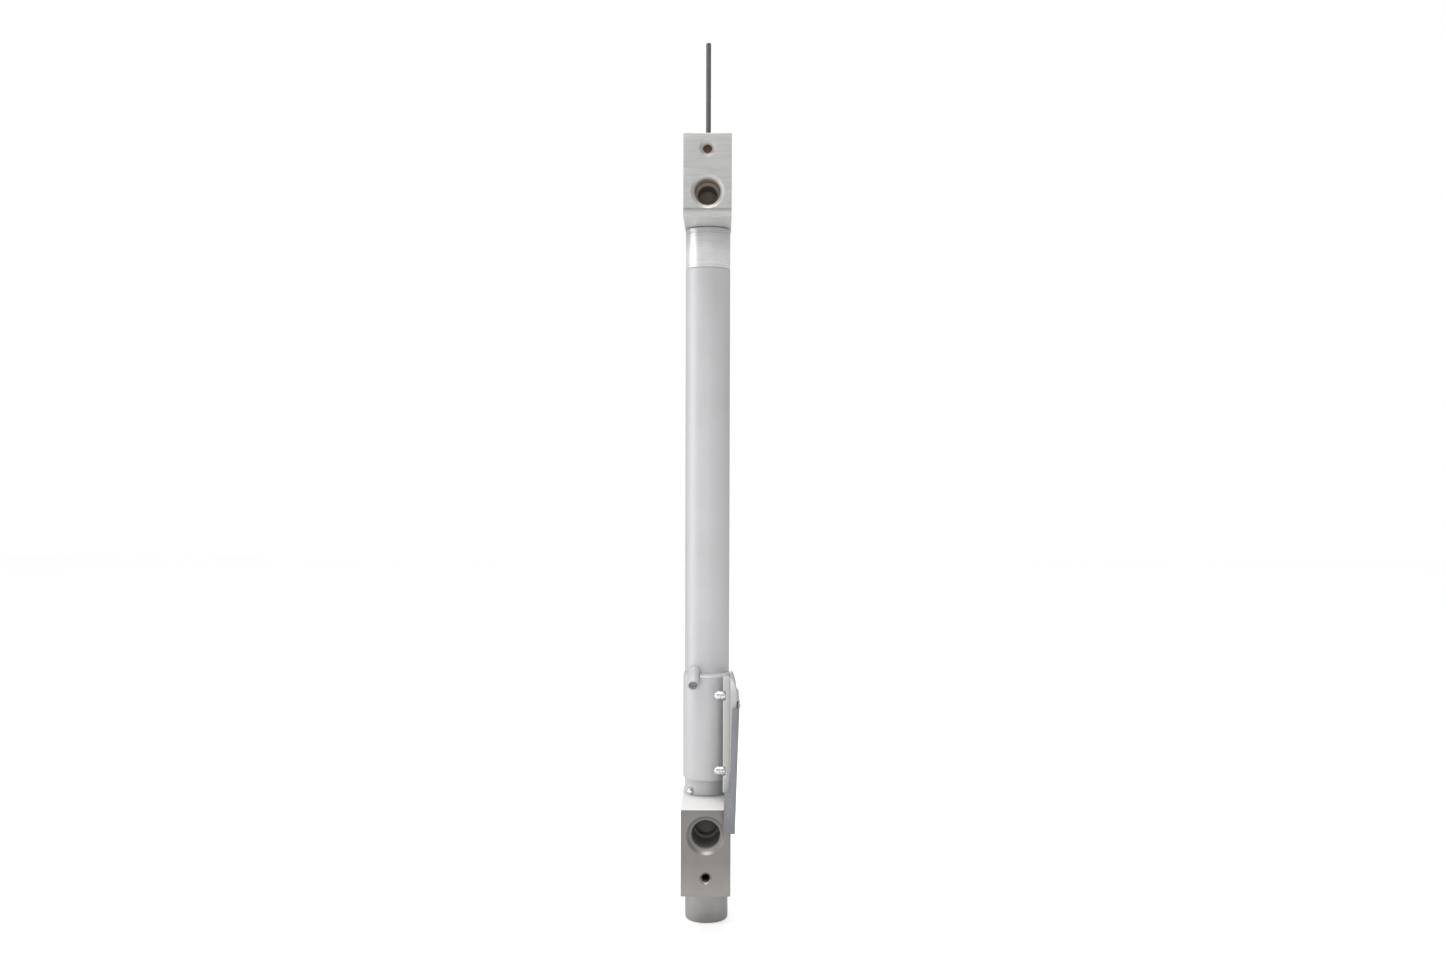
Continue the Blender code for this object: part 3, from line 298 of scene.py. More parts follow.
def turned_metal(name, colour, roughness, metallic=0.9, rings=0.2, ring_scale=1600, ring_tone=0.35,
                 painted_shadow=None):
    """Metal turned about Z: fine rings, a soft variation of tone, and a painted shadow from one height to
    another.
    """
    n = Nodes(name, colour, metallic, roughness)
    turning = n.noise(1.0, 2, 0.5, n.stretched((6, 6, ring_scale)))
    clouds = n.noise(45, 4)
    tone = n.ramp(clouds, 0.3, 0.7, shade(colour, 0.9), shade(colour, 1.06))
    tone = n.mix(n.span(turning, 0.35, 0.65, 0.0, ring_tone), tone, shade(colour, 0.8))
    if painted_shadow:
        low, high = painted_shadow
        # painted shadow between the two heights
        tone = n.mix(n.span(n.place()[2], low * MM, high * MM, 0.0, 0.7), tone, shade(colour, 0.4))
    rough = n.span(turning, 0.3, 0.7, roughness - 0.06, roughness + 0.08)
    return n.finish(tone, rough, n.bump(turning, rings, 0.00006))


def cast(name, colour, metallic=0.1, roughness=0.5):
    """A powder-coated casting: a soft pebbled surface with pores."""
    n = Nodes(name, colour, metallic, roughness)
    pebble = n.noise(700, 4, 0.6)
    clouds = n.noise(24, 3)
    tone = n.ramp(clouds, 0.3, 0.7, shade(colour, 0.94), shade(colour, 1.05))
    tone = n.mix(n.span(pebble, 0.28, 0.4, 0.5, 0.0), tone, shade(colour, 0.75))
    rough = n.span(clouds, 0.3, 0.7, roughness - 0.04, roughness + 0.08)
    return n.finish(tone, rough, n.bump(pebble, 0.35, 0.00025))


def moulded(name, colour, roughness=0.45, grain=0.25, scale=1900):
    """Moulded plastic or rubber with a fine spark-eroded grain and faint scuffs."""
    n = Nodes(name, colour, 0.0, roughness)
    texture = n.noise(scale, 2, 0.6)
    scuffs = n.noise(1.0, 4, 0.6, n.stretched((60, 60, 18)))
    tone = n.ramp(scuffs, 0.35, 0.75, shade(colour, 0.9), shade(colour, 1.35))
    return n.finish(tone, n.span(scuffs, 0.3, 0.7, roughness - 0.05, roughness + 0.1),
                    n.bump(texture, grain, 0.00015))


def plated(name, colour, roughness=0.24):
    """Bright zinc plate: nearly smooth, with a passivated mottling."""
    n = Nodes(name, colour, 1.0, roughness)
    mottle = n.noise(260, 4, 0.6)
    tone = n.ramp(mottle, 0.3, 0.7, shade(colour, 0.86), shade(colour, 1.05))
    rough = n.span(mottle, 0.3, 0.7, roughness - 0.05, roughness + 0.12)
    return n.finish(tone, rough, n.bump(mottle, 0.08, 0.0001))


FINISHES = {
    "bare_steel": milled("front_block_steel", (0.58, 0.58, 0.57), (0.52, 0.48, 0.44), metallic=0.7,
                         stain=0.25, bores=OIL_AND_SHADE_FRONT, bore_colour=(0.44, 0.39, 0.34), deep_shade=0.8),
    # the rear block: painted light on its top face, painted shade on its front
    "raw_steel": milled("rear_block_steel", (0.35, 0.33, 0.315), (0.32, 0.27, 0.23), metallic=0.8,
                        stain=0.45, bores=OIL_AND_SHADE_REAR, bore_colour=(0.62, 0.57, 0.52), deep_shade=0.16,
                        top=REAR_BLOCK_TOP, lit_top_colour=(0.79, 0.78, 0.765)),
    "cap_steel": turned_metal("cap_steel", (0.38, 0.37, 0.36), roughness=0.36),
    "gauze_steel": turned_metal("gauze_steel", (0.30, 0.30, 0.31), metallic=0.5, roughness=0.6,
                                ring_scale=2500),
    "silver_paint": painted("silver_paint", (0.53, 0.53, 0.54), metallic=0.2, roughness=0.42),
    # the collar: painted shadow of the front block over its top
    "polished_steel": turned_metal("polished_steel", (0.82, 0.82, 0.82), metallic=0.55, roughness=0.3,
                                   rings=0.015, ring_tone=0.1, painted_shadow=(636, 664)),
    "rod_steel": turned_metal("rod_steel", (0.15, 0.15, 0.155), metallic=0.7, roughness=0.38,
                              ring_scale=2500),
    "zinc": plated("zinc_plate", (0.82, 0.83, 0.84)),
    "light_cast": cast("light_cast", (0.50, 0.505, 0.495)),
    "dark_plastic": moulded("dark_plastic", (0.17, 0.176, 0.19)),
    "rubber": moulded("black_rubber", (0.02, 0.02, 0.02), roughness=0.75, grain=0.4, scale=1200),
    "brass": plated("brass", (0.60, 0.40, 0.19), roughness=0.35),
    "aged_brass": plated("aged_brass", (0.23, 0.15, 0.11), roughness=0.5),
    "bronze": turned_metal("bronze", (0.55, 0.34, 0.16), roughness=0.38),
    "gear_steel": turned_metal("gear_steel", (0.42, 0.42, 0.44), roughness=0.3),
    "ferrite": moulded("ferrite", (0.06, 0.06, 0.065), roughness=0.6, grain=0.5, scale=900),
    "copper": plated("copper", (0.72, 0.36, 0.21), roughness=0.3),
    "board_green": moulded("board_green", (0.03, 0.22, 0.09), roughness=0.35, grain=0.1),
    "white_plastic": moulded("white_plastic", (0.78, 0.78, 0.74), roughness=0.45, grain=0.15),
}


def finish_frame():
    """Gives every CAD node the finish of its material slot."""
    for entry in frame["record"]["subparts"]:
        node = frame["nodes"][entry["node"]]
        node.data.materials.clear()
        node.data.materials.append(FINISHES[entry["material_slot"]])
        node.data.shade_smooth()
        node.data.set_sharp_from_angle(angle=math.radians(SOFT_EDGE))


finish_frame()


# ---------------------------------------------------------------- building pieces, in millimetres

def new_piece(name, work, place=None):
    """An object from a bmesh in millimetres, put in place by a matrix in metres."""
    bmesh.ops.recalc_face_normals(work, faces=work.faces)
    bmesh.ops.scale(work, vec=(MM, MM, MM), verts=work.verts)
    if place is not None:
        bmesh.ops.transform(work, matrix=place, verts=work.verts)
    mesh = bpy.data.meshes.new(name)
    work.to_mesh(mesh)
    work.free()
    obj = bpy.data.objects.new(name, mesh)
    bpy.context.scene.collection.objects.link(obj)
    return obj


def shown(obj, slot, body="housing", node=None, finish=None, soft_edge=SOFT_EDGE):
    """Gives a piece its finish and puts it on its body, in place of a CAD node if one is named."""
    obj.data.materials.clear()
    obj.data.materials.append(FINISHES[finish or slot])
    obj.data.shade_smooth()
    obj.data.set_sharp_from_angle(angle=math.radians(soft_edge))
    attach(obj, body)
    if node:
        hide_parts(node)
    return obj


def lathe_mesh(profile, steps, closed):
    """A bmesh of a profile of (radius, height) points turned about Z."""
    work = bmesh.new()
    rings = []
    for radius, height in profile:
        if radius < 1e-6:
            rings.append([work.verts.new((0, 0, height))])
        else:
            rings.append([work.verts.new((x, y, height)) for x, y in circle(radius, steps)])
    pairs = list(zip(rings, rings[1:])) + ([(rings[-1], rings[0])] if closed else [])
    for first, second in pairs:
        for i in range(steps):
            j = (i + 1) % steps
            # a ring of one point, on the axis, gives triangles
            corners = [first[i % len(first)], first[j % len(first)],
                       second[j % len(second)], second[i % len(second)]]
            corners = list(dict.fromkeys(corners))
            if len(corners) > 2:
                work.faces.new(corners)
    return work


def lathe(name, profile, steps, closed=False, place=None):
    return new_piece(name, lathe_mesh(profile, steps, closed), place)


def block(name, low, high, bevel, place=None):
    """A block between two corners, with rounded edges unless the bevel is nought."""
    work = bmesh.new()
    bmesh.ops.create_cube(work, size=1.0)
    size = [b - a for a, b in zip(low, high)]
    middle = [(a + b) / 2 for a, b in zip(low, high)]
    stretch = Matrix.Translation(middle) @ Matrix.Diagonal((*size, 1))
    bmesh.ops.transform(work, matrix=stretch, verts=work.verts)
    if bevel:
        edges = list(work.edges)
        bmesh.ops.bevel(work, geom=edges, offset=bevel, segments=4, affect="EDGES", profile=0.5)
    return new_piece(name, work, place)


def prism(name, outline, axis, low, high, place=None):
    """An outline in the plane across an axis, extruded along it. The outline's points are in axis order."""
    work = bmesh.new()
    orders = {"X": lambda u, v, w: (w, u, v), "Y": lambda u, v, w: (u, w, v), "Z": lambda u, v, w: (u, v, w)}
    order = orders[axis]
    face = work.faces.new([work.verts.new(order(u, v, low)) for u, v in outline])
    top = bmesh.ops.extrude_face_region(work, geom=[face])
    moved = [v for v in top["geom"] if isinstance(v, bmesh.types.BMVert)]
    bmesh.ops.translate(work, vec=order(0, 0, high - low), verts=moved)
    return new_piece(name, work, place)


def carve(obj, cutters, operation="DIFFERENCE"):
    """Cuts or joins helper shapes, which are then removed."""
    for cutter in cutters:
        modifier = obj.modifiers.new(cutter.name, "BOOLEAN")
        modifier.operation = operation
        modifier.solver = "EXACT"
        modifier.object = cutter
    bake(obj)
    for cutter in cutters:
        bpy.data.objects.remove(cutter)
    return obj


def bake(obj):
    graph = bpy.context.evaluated_depsgraph_get()
    mesh = bpy.data.meshes.new_from_object(obj.evaluated_get(graph))
    obj.modifiers.clear()
    obj.data = mesh


def soften(obj, width, segments, angle=40):
    """Rounds the sharp edges of a finished piece by a width in millimetres."""
    modifier = obj.modifiers.new("soften", "BEVEL")
    modifier.width = width * MM
    modifier.segments = segments
    modifier.limit_method = "ANGLE"
    modifier.angle_limit = math.radians(angle)
    bake(obj)
    return obj


def at(x, y, z):
    return Matrix.Translation((x * MM, y * MM, z * MM))


def turn_about(axis, degrees):
    return Matrix.Rotation(math.radians(degrees), 4, axis)


def along_y(x, y, z):
    """A place whose local +Z points out of the front, along -Y."""
    return at(x, y, z) @ turn_about("X", 90)


def along_minus_x(x, y, z):
    return at(x, y, z) @ turn_about("Y", -90)


def polar(radius, angle):
    return (radius * math.cos(angle), radius * math.sin(angle))


def circle(radius, steps):
    return [polar(radius, math.tau * i / steps) for i in range(steps)]


def rounded_outline(low, high, radii, steps=10):
    """A rectangle's outline with a radius at each corner, in the order of +u+v, -u+v, -u-v, +u-v."""
    (u0, v0), (u1, v1) = low, high
    points = []
    for (su, sv), radius, start in zip(((1, 1), (0, 1), (0, 0), (1, 0)), radii, (0, 90, 180, 270)):
        cu = (u1 - radius) if su else (u0 + radius)
        cv = (v1 - radius) if sv else (v0 + radius)
        for i in range(steps + 1):
            a = math.radians(start + 90 * i / steps)
            points.append((cu + radius * math.cos(a), cv + radius * math.sin(a)))
    return points


# ---------------------------------------------------------------- mounting blocks

def socket_cutter(z, mouth, bore, step, inner, depth):
    """A stepped bore with a countersunk, lightly broken mouth, a ring groove and a broken step."""
    lead = mouth - bore
    groove_r, groove_top, groove_bottom = bore + 0.9, -8, -9.6
    profile = [(0, 2), (mouth + 2.3, 2), (mouth + 0.3, 0), (mouth - 0.1, -0.3),
               (bore + 0.25, -lead), (bore, -lead - 0.3),
               (bore, groove_top), (groove_r, groove_top), (groove_r, groove_bottom), (bore, groove_bottom),
               (bore, -step), (inner + 0.9, -step), (inner, -step - 0.9),
               (inner, -depth + 1), (inner - 1.2, -depth), (0, -depth - 2)]
    return lathe("socket", profile, FINE, place=along_y(0, BLOCK_FRONT, z))


def threaded_cutter(z, mouth, pitch=1.0):
    """A tapped hole: a countersink, then thread ridges down to a drill point."""
    countersink = mouth - HOLE_ROOT_R
    profile = [(0, 2), (mouth + 2, 2), (mouth, 0), (HOLE_ROOT_R, -countersink)]
    height = countersink
    while height + pitch < HOLE_DEPTH:
        profile += [(HOLE_CREST_R, -height - pitch / 2), (HOLE_ROOT_R, -height - pitch)]
        height += pitch
    profile += [(HOLE_CREST_R, -HOLE_DEPTH), (0, -HOLE_DEPTH - 2.8)]
    return lathe("thread", profile, MEDIUM, place=along_y(0, BLOCK_FRONT, z))


def make_front_block():
    body = block("front_block_body", (-FRONT_BLOCK_HALF, BLOCK_FRONT, FRONT_BLOCK_BOTTOM),
                 (FRONT_BLOCK_HALF, BLOCK_BACK, FRONT_BLOCK_TOP), 0.7)
    relief = block("relief", (-40, -8, 0), (40, 0, 12), 0)
    relief.data.transform(at(0, BLOCK_FRONT, FRONT_BLOCK_BOTTOM - 3) @ turn_about("X", -9))
    carve(body, [relief])
    # the rod's way: a wide bore from below, a close one, and the wiper's seat at the top
    height = FRONT_BLOCK_TOP - FRONT_BLOCK_BOTTOM
    rod_way = [(0, -1), (7, -1), (7, 39), (4.2, 39), (4.2, height - 4.7), (6.5, height - 4.7),
               (6.5, height - 0.4), (7.4, height + 1), (0, height + 1)]
    carve(body, [lathe("rod_way", rod_way, MEDIUM, place=at(0, 0, FRONT_BLOCK_BOTTOM)),
                 socket_cutter(FRONT_SOCKET_Z, **FRONT_SOCKET),
                 threaded_cutter(FRONT_HOLE_Z, 9)])
    shown(body, "bare_steel", node="front_block")
    profile = [(0, -1.2), (2.2, -1.2), (2.5, -0.9), (2.5, 0), (4.4, 0), (4.7, -0.4), (4.7, -10), (0, -10)]
    plug = lathe("front_hole_plug", profile, SMALL, place=along_y(0, BLOCK_FRONT + 8, FRONT_HOLE_Z))
    shown(plug, "brass", node="front_thread_plug", finish="aged_brass")


def make_rear_block():
    body = block("rear_block_body", (-REAR_BLOCK_HALF, BLOCK_FRONT, REAR_BLOCK_BOTTOM),
                 (REAR_BLOCK_HALF, BLOCK_BACK, REAR_BLOCK_TOP), 1.1)
    height, mouth = REAR_BLOCK_TOP - REAR_BLOCK_BOTTOM, MOTOR_BORE_R + 1
    motor_way = [(0, -1), (mouth, -1), (MOTOR_BORE_R, 0.6), (MOTOR_BORE_R, height - 0.6), (mouth, height + 1),
                 (0, height + 1)]
    carve(body, [lathe("motor_way", motor_way, FINE, place=at(0, 0, REAR_BLOCK_BOTTOM)),
                 socket_cutter(REAR_SOCKET_Z, **REAR_SOCKET),
                 threaded_cutter(REAR_HOLE_Z, 6.6)])
    shown(body, "raw_steel", node="rear_block")
    bottom, pitch = -18, 0.7
    profile = [(5.1, -0.4), (5.1, bottom), (3.8, bottom)]
    for turn in range(24):
        height = bottom + 0.5 + turn * pitch
        profile += [(4.05, height + 0.25), (3.75, height + 0.6)]
    profile += [(4.4, 0)]
    place = along_y(0, BLOCK_FRONT + 3, REAR_HOLE_Z)
    insert = lathe("rear_hole_insert", profile, SMALL, closed=True, place=place)
    shown(insert, "brass", node="rear_thread_insert", finish="aged_brass")


# ---------------------------------------------------------------- tube, collar, cap and rod

def make_tube():
    profile = [(TUBE_R - 0.4, TUBE_TOP), (TUBE_R, TUBE_TOP - 0.5), (TUBE_R, TUBE_BOTTOM + 0.7),
               (TUBE_R - 0.5, TUBE_BOTTOM), (TUBE_BORE_R, TUBE_BOTTOM), (TUBE_BORE_R, TUBE_TOP)]
    tube = lathe("arm_tube", profile, FINE, closed=True)
    drill = lathe("drain_hole", [(0, 0), (2.7, 0), (2.7, 30), (0, 30)], SMALL, place=drain_place())
    carve(tube, [drill])
    shown(tube, "silver_paint", node="outer_tube")


def make_collar():
    """A polished gland with a fine groove above and below and broken edges."""
    radius, inner, way = TUBE_R, TUBE_BORE_R - 0.2, 6
    upper, lower = COLLAR_TOP - 4.7, COLLAR_BOTTOM + 4.4
    profile = [(radius - 0.8, COLLAR_TOP), (radius, COLLAR_TOP - 0.8),
               (radius, upper), (radius - 0.5, upper - 0.4), (radius - 0.5, upper - 1.4),
               (radius, upper - 1.8), (radius, lower), (radius - 0.4, lower - 0.4),
               (radius - 0.4, lower - 1.2), (radius, lower - 1.6),
               (radius, COLLAR_BOTTOM + 0.8), (radius - 0.8, COLLAR_BOTTOM), (inner, COLLAR_BOTTOM),
               (inner, COLLAR_BOTTOM - 14), (way, COLLAR_BOTTOM - 14), (way, COLLAR_TOP)]
    shown(lathe("collar", profile, FINE, closed=True), "polished_steel", node="front_collar")


def make_end_cap():
    """The turned cup over the motor's end, with a rounded rim and a shallow recess below."""
    top, radius, bottom = REAR_BLOCK_BOTTOM - GAP, END_CAP_R, END_CAP_BOTTOM
    profile = [(0, END_CAP_FLOOR), (END_CAP_BORE_R, END_CAP_FLOOR), (END_CAP_BORE_R, top),
               (radius - 0.6, top), (radius, top - 0.6), (radius, bottom + 10.5),
               (radius - 0.1, bottom + 2.4), (radius - 0.4, bottom + 1.2), (radius - 1.2, bottom + 0.3),
               (radius - 2.2, bottom), (16, bottom), (15.4, bottom + 0.8), (0, bottom + 0.8)]
    cap = lathe("end_cup", profile, FINE)
    lead_way = [(0, -30), (4, -30), (4, -14), (0, -14)]
    carve(cap, [lathe("lead_way", lead_way, SMALL, place=along_y(0, 0, GLAND_Z))])
    shown(cap, "cap_steel", node="end_cap")


def make_gland():
    """The cable gland on the back of the cap: a hexagonal nut, a ribbed dome and a rubber seal."""
    back = at(0, GLAND_SEAT, GLAND_Z) @ turn_about("X", -90)
    nut = prism("gland_nut", circle(9, 6), "Z", -5, 1.8, back)
    carve(nut, [lathe("gland_bore", [(0, -6), (CORD_R, -6), (CORD_R, 3), (0, 3)], SMALL, place=back)])
    soften(nut, 0.4, 2)
    shown(nut, "dark_plastic", node="cable_gland")
    ribs, rib_r, root_r = [], 7.5, 7.0
    for i in range(24):
        start = math.tau * i / 24
        ribs += [polar(rib_r, start), polar(rib_r, start + 0.12), polar(root_r, start + 0.16),
                 polar(root_r, start + 0.22)]
    dome = prism("gland_dome", ribs, "Z", 2.0, 10.2, back)
    carve(dome, [lathe("dome_bore", [(0, 1), (CORD_R, 1), (CORD_R, 12), (0, 12)], SMALL, place=back)])
    shown(dome, "dark_plastic")
    seal = lathe("gland_seal", [(3.8, 9), (6.4, 9), (6.0, 11.4), (5.2, 12), (4.0, 12), (3.8, 11.6)], SMALL,
                 closed=True, place=back)
    shown(seal, "rubber")


def make_rod():
    profile = [(0, ROD_TIP), (ROD_R - 0.7, ROD_TIP), (ROD_R - 0.3, ROD_TIP - 0.3), (ROD_R, ROD_TIP - 0.8),
               (ROD_R, ROD_BOTTOM), (0, ROD_BOTTOM)]
    shown(lathe("thin_rod", profile, SMALL), "rod_steel", "rod", node="push_rod")
    top = FRONT_BLOCK_TOP
    lip = [(3.1, top + 2), (3.5, top + 2), (4.3, top + 1.2), (4.6, top + 0.6), (6.0, top + 0.3),
           (6.2, top - 0.1), (6.2, top - 4.7), (3.05, top - 4.7), (3.05, top + 1.6)]
    shown(lathe("rod_wiper", lip, SMALL, closed=True), "rubber", node="wiper_seal")


# ---------------------------------------------------------------- housing, elbow, bracket and screws

def elbow_place():
    """A place at the elbow's bend whose local +Z runs down its lower leg."""
    return at(*ELBOW_BEND) @ turn_about("X", 90 + ELBOW_TILT)


def drain_place():
    """A place on the arm's axis whose local +Z points out through the drain screw."""
    return at(0, 0, DRAIN_Z) @ turn_about("Z", DRAIN_TURN) @ turn_about("X", 90)


def make_housing():
    """The housing's outline is the tube's round drawn out to the front, with rounded rims."""
    steps = 96
    back = [polar(HOUSING_R, math.pi * i / steps) for i in range(steps + 1)]
    front = [(-x, -y - HOUSING_SHIFT) for x, y in back]
    shell = prism("housing_shell", back + front, "Z", HOUSING_BOTTOM, HOUSING_TOP)
    soften(shell, HOUSING_EDGE_R, 6, 50)
    bend_x, bend_y, bend_z = ELBOW_BEND
    elbow_way = lathe("elbow_way", [(0, -12), (ELBOW_R + 0.6, -12), (ELBOW_R + 0.6, 28), (0, 28)], MEDIUM,
                      place=along_y(bend_x, bend_y + 22, bend_z))
    lower_way = lathe("lower_way", [(0, 0), (ELBOW_R + 0.5, 0), (ELBOW_R + 0.5, ELBOW_LENGTH + 10),
                                    (0, ELBOW_LENGTH + 10)], MEDIUM, place=elbow_place())
    bottom, top, way = HOUSING_BOTTOM - 7, HOUSING_TOP + 5, TUBE_R + 0.25
    tube_way = lathe("tube_way", [(0, bottom), (way, bottom), (way, top), (0, top)], FINE)
    pocket = block("pocket", (-13, -35, 58), (13, -20, 138), 0)
    carve(shell, [tube_way, pocket, elbow_way, lower_way])
    shown(shell, "silver_paint", node="gear_housing")


def make_elbow():
    """The breather elbow: a leg from the tube, a round knuckle, and a leg down to a recess with a gauze."""
    radius, end, recess, floor = ELBOW_R, ELBOW_LENGTH, ELBOW_RECESS_R, ELBOW_RECESS_BOTTOM
    profile = [(0, floor), (recess - 0.4, floor), (recess, floor + 0.4), (recess, end - 0.4),
               (recess + 0.2, end), (radius - 0.6, end), (radius - 0.2, end - 0.3), (radius, end - 0.8),
               (radius, 4), (radius, 0), (0, 0)]
    lower = lathe("elbow", profile, MEDIUM, place=elbow_place())
    ball, steps = radius + 0.2, 24
    half_circle = [polar(ball, math.pi / 2 - math.pi * i / steps) for i in range(steps + 1)]
    knuckle = lathe("knuckle", half_circle, MEDIUM, place=at(*ELBOW_BEND))
    leg_r = radius - 0.2
    leg = lathe("leg", [(0, -21), (leg_r, -21), (leg_r, 0), (0, 0)], MEDIUM, place=along_y(*ELBOW_BEND))
    carve(lower, [knuckle, leg], "UNION")
    way = TUBE_R + 0.25
    carve(lower, [lathe("saddle", [(0, 120), (way, 120), (way, 200), (0, 200)], FINE)])
    shown(lower, "silver_paint", node="breather_elbow", soft_edge=45)
    profile = [(0, floor + 1.2), (1.7, floor + 1.1), (3.6, floor + 0.7), (recess - 0.1, floor + 0.7),
               (recess - 0.1, floor + 0.1), (0, floor + 0.1)]
    gauze = lathe("elbow_gauze", profile, MEDIUM, place=elbow_place())
    shown(gauze, "silver_paint", finish="gauze_steel")


def cross_recess(place, width, depth, reach):
    """Cutters for a screw's cross recess, tapered towards its bottom."""
    cutters = []
    for number in range(2):
        work = bmesh.new()
        bmesh.ops.create_cube(work, size=1.0)
        bmesh.ops.transform(work, matrix=Matrix.Diagonal((reach, width, depth * 2, 1)), verts=work.verts)
        for vert in work.verts:
            if vert.co.z < 0:
                vert.co.x *= 0.45
                vert.co.y *= 0.7
        cutters.append(new_piece(f"recess_{number}", work, place @ turn_about("Z", 90 * number)))
    return cutters


def make_bracket():
    plate = block("bracket_plate", PLATE_LOW, PLATE_HIGH, 0)
    y, half = BRACKET_SCREW_Y, SPACER_R + GAP
    front, left, right = PLATE_LOW[1] - 4, SCREW_SEAT - 3, SCREW_SEAT + 6.2
    carve(plate, [block("notch", (left, front, z - half), (right, y + half, z + half), 0)
                  for z in BRACKET_SCREW_Z])
    hole = [(0, 0), (BRACKET_HOLE_R, 0), (BRACKET_HOLE_R, 20), (0, 20)]
    carve(plate, [lathe("hole", hole, SMALL, place=at(left, y, z) @ turn_about("Y", 90))
                  for z in BRACKET_SCREW_Z])
    soften(plate, 1.4, 4, 50)
    shown(plate, "light_cast", node="side_bracket")
    for number, z in enumerate(BRACKET_SCREW_Z, 1):
        make_bracket_screw(number, along_minus_x(SCREW_SEAT, y, z))


def make_bracket_screw(number, place):
    """A domed screw and its grooved spacer. Heights run out from the seat of the screw's head."""
    shank = BRACKET_HOLE_R - GAP
    profile = [(0, 6.3), (1.6, 6.2), (2.9, 5.6), (3.9, 4.5), (4.6, 2.9), (4.9, 1.2), (4.8, 0),
               (shank, 0), (shank, -9.8), (0, -9.8)]
    head = lathe(f"screw_{number}", profile, MEDIUM, place=place)
    carve(head, cross_recess(place @ at(0, 0, 6.4), 1.1, 2.6, 5.2))
    shown(head, "zinc", node=f"bracket_screw_{number}")
    outer, groove, inner = SPACER_R, SPACER_R - 0.25, BRACKET_HOLE_R
    profile = [(outer - 0.4, -0.3), (outer, -0.7), (outer, -2.6), (groove, -2.8), (groove, -3.3),
               (outer, -3.5), (outer, -5.5), (outer - 0.4, -5.9), (inner, -5.9), (inner, -0.3)]
    spacer = lathe(f"spacer_{number}", profile, MEDIUM, closed=True, place=place)
    shown(spacer, "zinc", node=f"bracket_spacer_{number}")


def make_drain_screw():
    place = drain_place() @ at(0, 0, DRAIN_SEAT)
    profile = [(0, 3.4), (1.3, 3.3), (2.4, 2.8), (3.3, 2.0), (3.8, 1.0), (4, 0), (2.4, 0), (2.4, -3), (0, -3)]
    head = lathe("drain_plug", profile, MEDIUM, place=place)
    carve(head, [block("slot", (-5, -0.5, 2.1), (5, 0.5, 5), 0, place=place)])
    shown(head, "zinc", node="drain_screw")


# ---------------------------------------------------------------- switch unit

LEAN = at(UNIT_PIVOT_X, 0, UNIT_PIVOT_Z) @ turn_about("Y", UNIT_LEAN) @ at(-UNIT_PIVOT_X, 0, -UNIT_PIVOT_Z)


def leant(obj):
    obj.data.transform(LEAN)
    return obj


def make_switch_body():
    """The cast body: a flat slab with a rounded upper part whose outer side falls away in a brow."""
    outline = rounded_outline((-89, 52), (-8, 171), (22, 22, 5, 5))
    body = prism("unit_body", outline, "X", UNIT_LEFT, UNIT_SPLIT)
    carve(body, [leant(block("outer_side", (UNIT_SPLIT, -100, 0), (60, 10, COVER_TOP), 0))])
    outline = rounded_outline((-86, COVER_TOP + GAP), (-12, 168.6), (16, 16, 0.5, 0.5))
    brow = prism("brow_block", outline, "X", UNIT_LEFT, UNIT_RIGHT)
    carve(body, [brow], "UNION")
    # the brow's section: (x from the unit's left side, z)
    edge = [(0, 169.0), (1.5, 167.6), (2.7, 165.6), (3.7, 163.6), (4.5, 161.2), (5.2, 158.7), (5.8, 156.0),
            (6.2, 153.3), (6.6, 150.5), (6.9, 148.8), (7.4, 147.2), (8.2, 146.0), (9.1, 145.2)]
    outside = [(60, 145.2), (60, 190), (UNIT_LEFT, 190)]
    carve(body, [prism("away", [(UNIT_LEFT + x, z) for x, z in edge] + outside, "Y", -100, 10)])
    soften(body, 0.7, 3, 45)
    pocket_left = UNIT_LEFT + 3
    carve(body, [block("clearance", (20, -40, 20), (26.8, 0, 180), 0),
                 leant(block("pocket", (pocket_left, -80, 84), (pocket_left + 5.5, -22, 134), 0))])
    shown(body, "light_cast", node="switch_body")


def make_switch_cover():
    """The dark cover: a leaning outer side with a ribbed panel, a front wall and a rounded tongue below."""
    wall_back = UNIT_FRONT + 4.4
    outline = rounded_outline((UNIT_FRONT, 2), (-14, COVER_TOP), (8, 8, 7, 7))
    side = prism("unit_cover", outline, "X", COVER_INSIDE, UNIT_RIGHT)
    front_wall = block("front_wall", (UNIT_LEFT + 2.1, UNIT_FRONT, 10),
                       (UNIT_RIGHT - 0.4, wall_back, COVER_TOP - 6), 0)
    outline = rounded_outline((UNIT_FRONT, 3.5), (wall_back, 47), (1.5, 1.5, 1.5, 1.5), 4)
    tongue = prism("tongue", outline, "X", UNIT_LEFT - 3.2, UNIT_RIGHT - 0.8)
    carve(side, [front_wall, tongue], "UNION")
    panel, rib_top = UNIT_RIGHT - 0.5, UNIT_RIGHT - 0.1
    outline = rounded_outline((-86, 20), (-22, 126), (5, 5, 5, 5))
    carve(side, [prism("panel", outline, "X", panel, UNIT_RIGHT + 1.1)])
    ribs = [block("rib", (panel - 0.3, y, 26), (rib_top, y + 2.5, 120), 0) for y in range(-78, -29, 8)]
    carve(side, ribs, "UNION")
    soften(side, 0.45, 3, 50)
    hole = [(0, 0), (1.7, 0), (1.7, 12), (0, 12)]
    carve(side, [lathe("hole", hole, SMALL, place=at(30, y, z) @ turn_about("Y", 90))
                 for y, z in COVER_SCREWS])
    shown(leant(side), "dark_plastic", node="switch_cover")


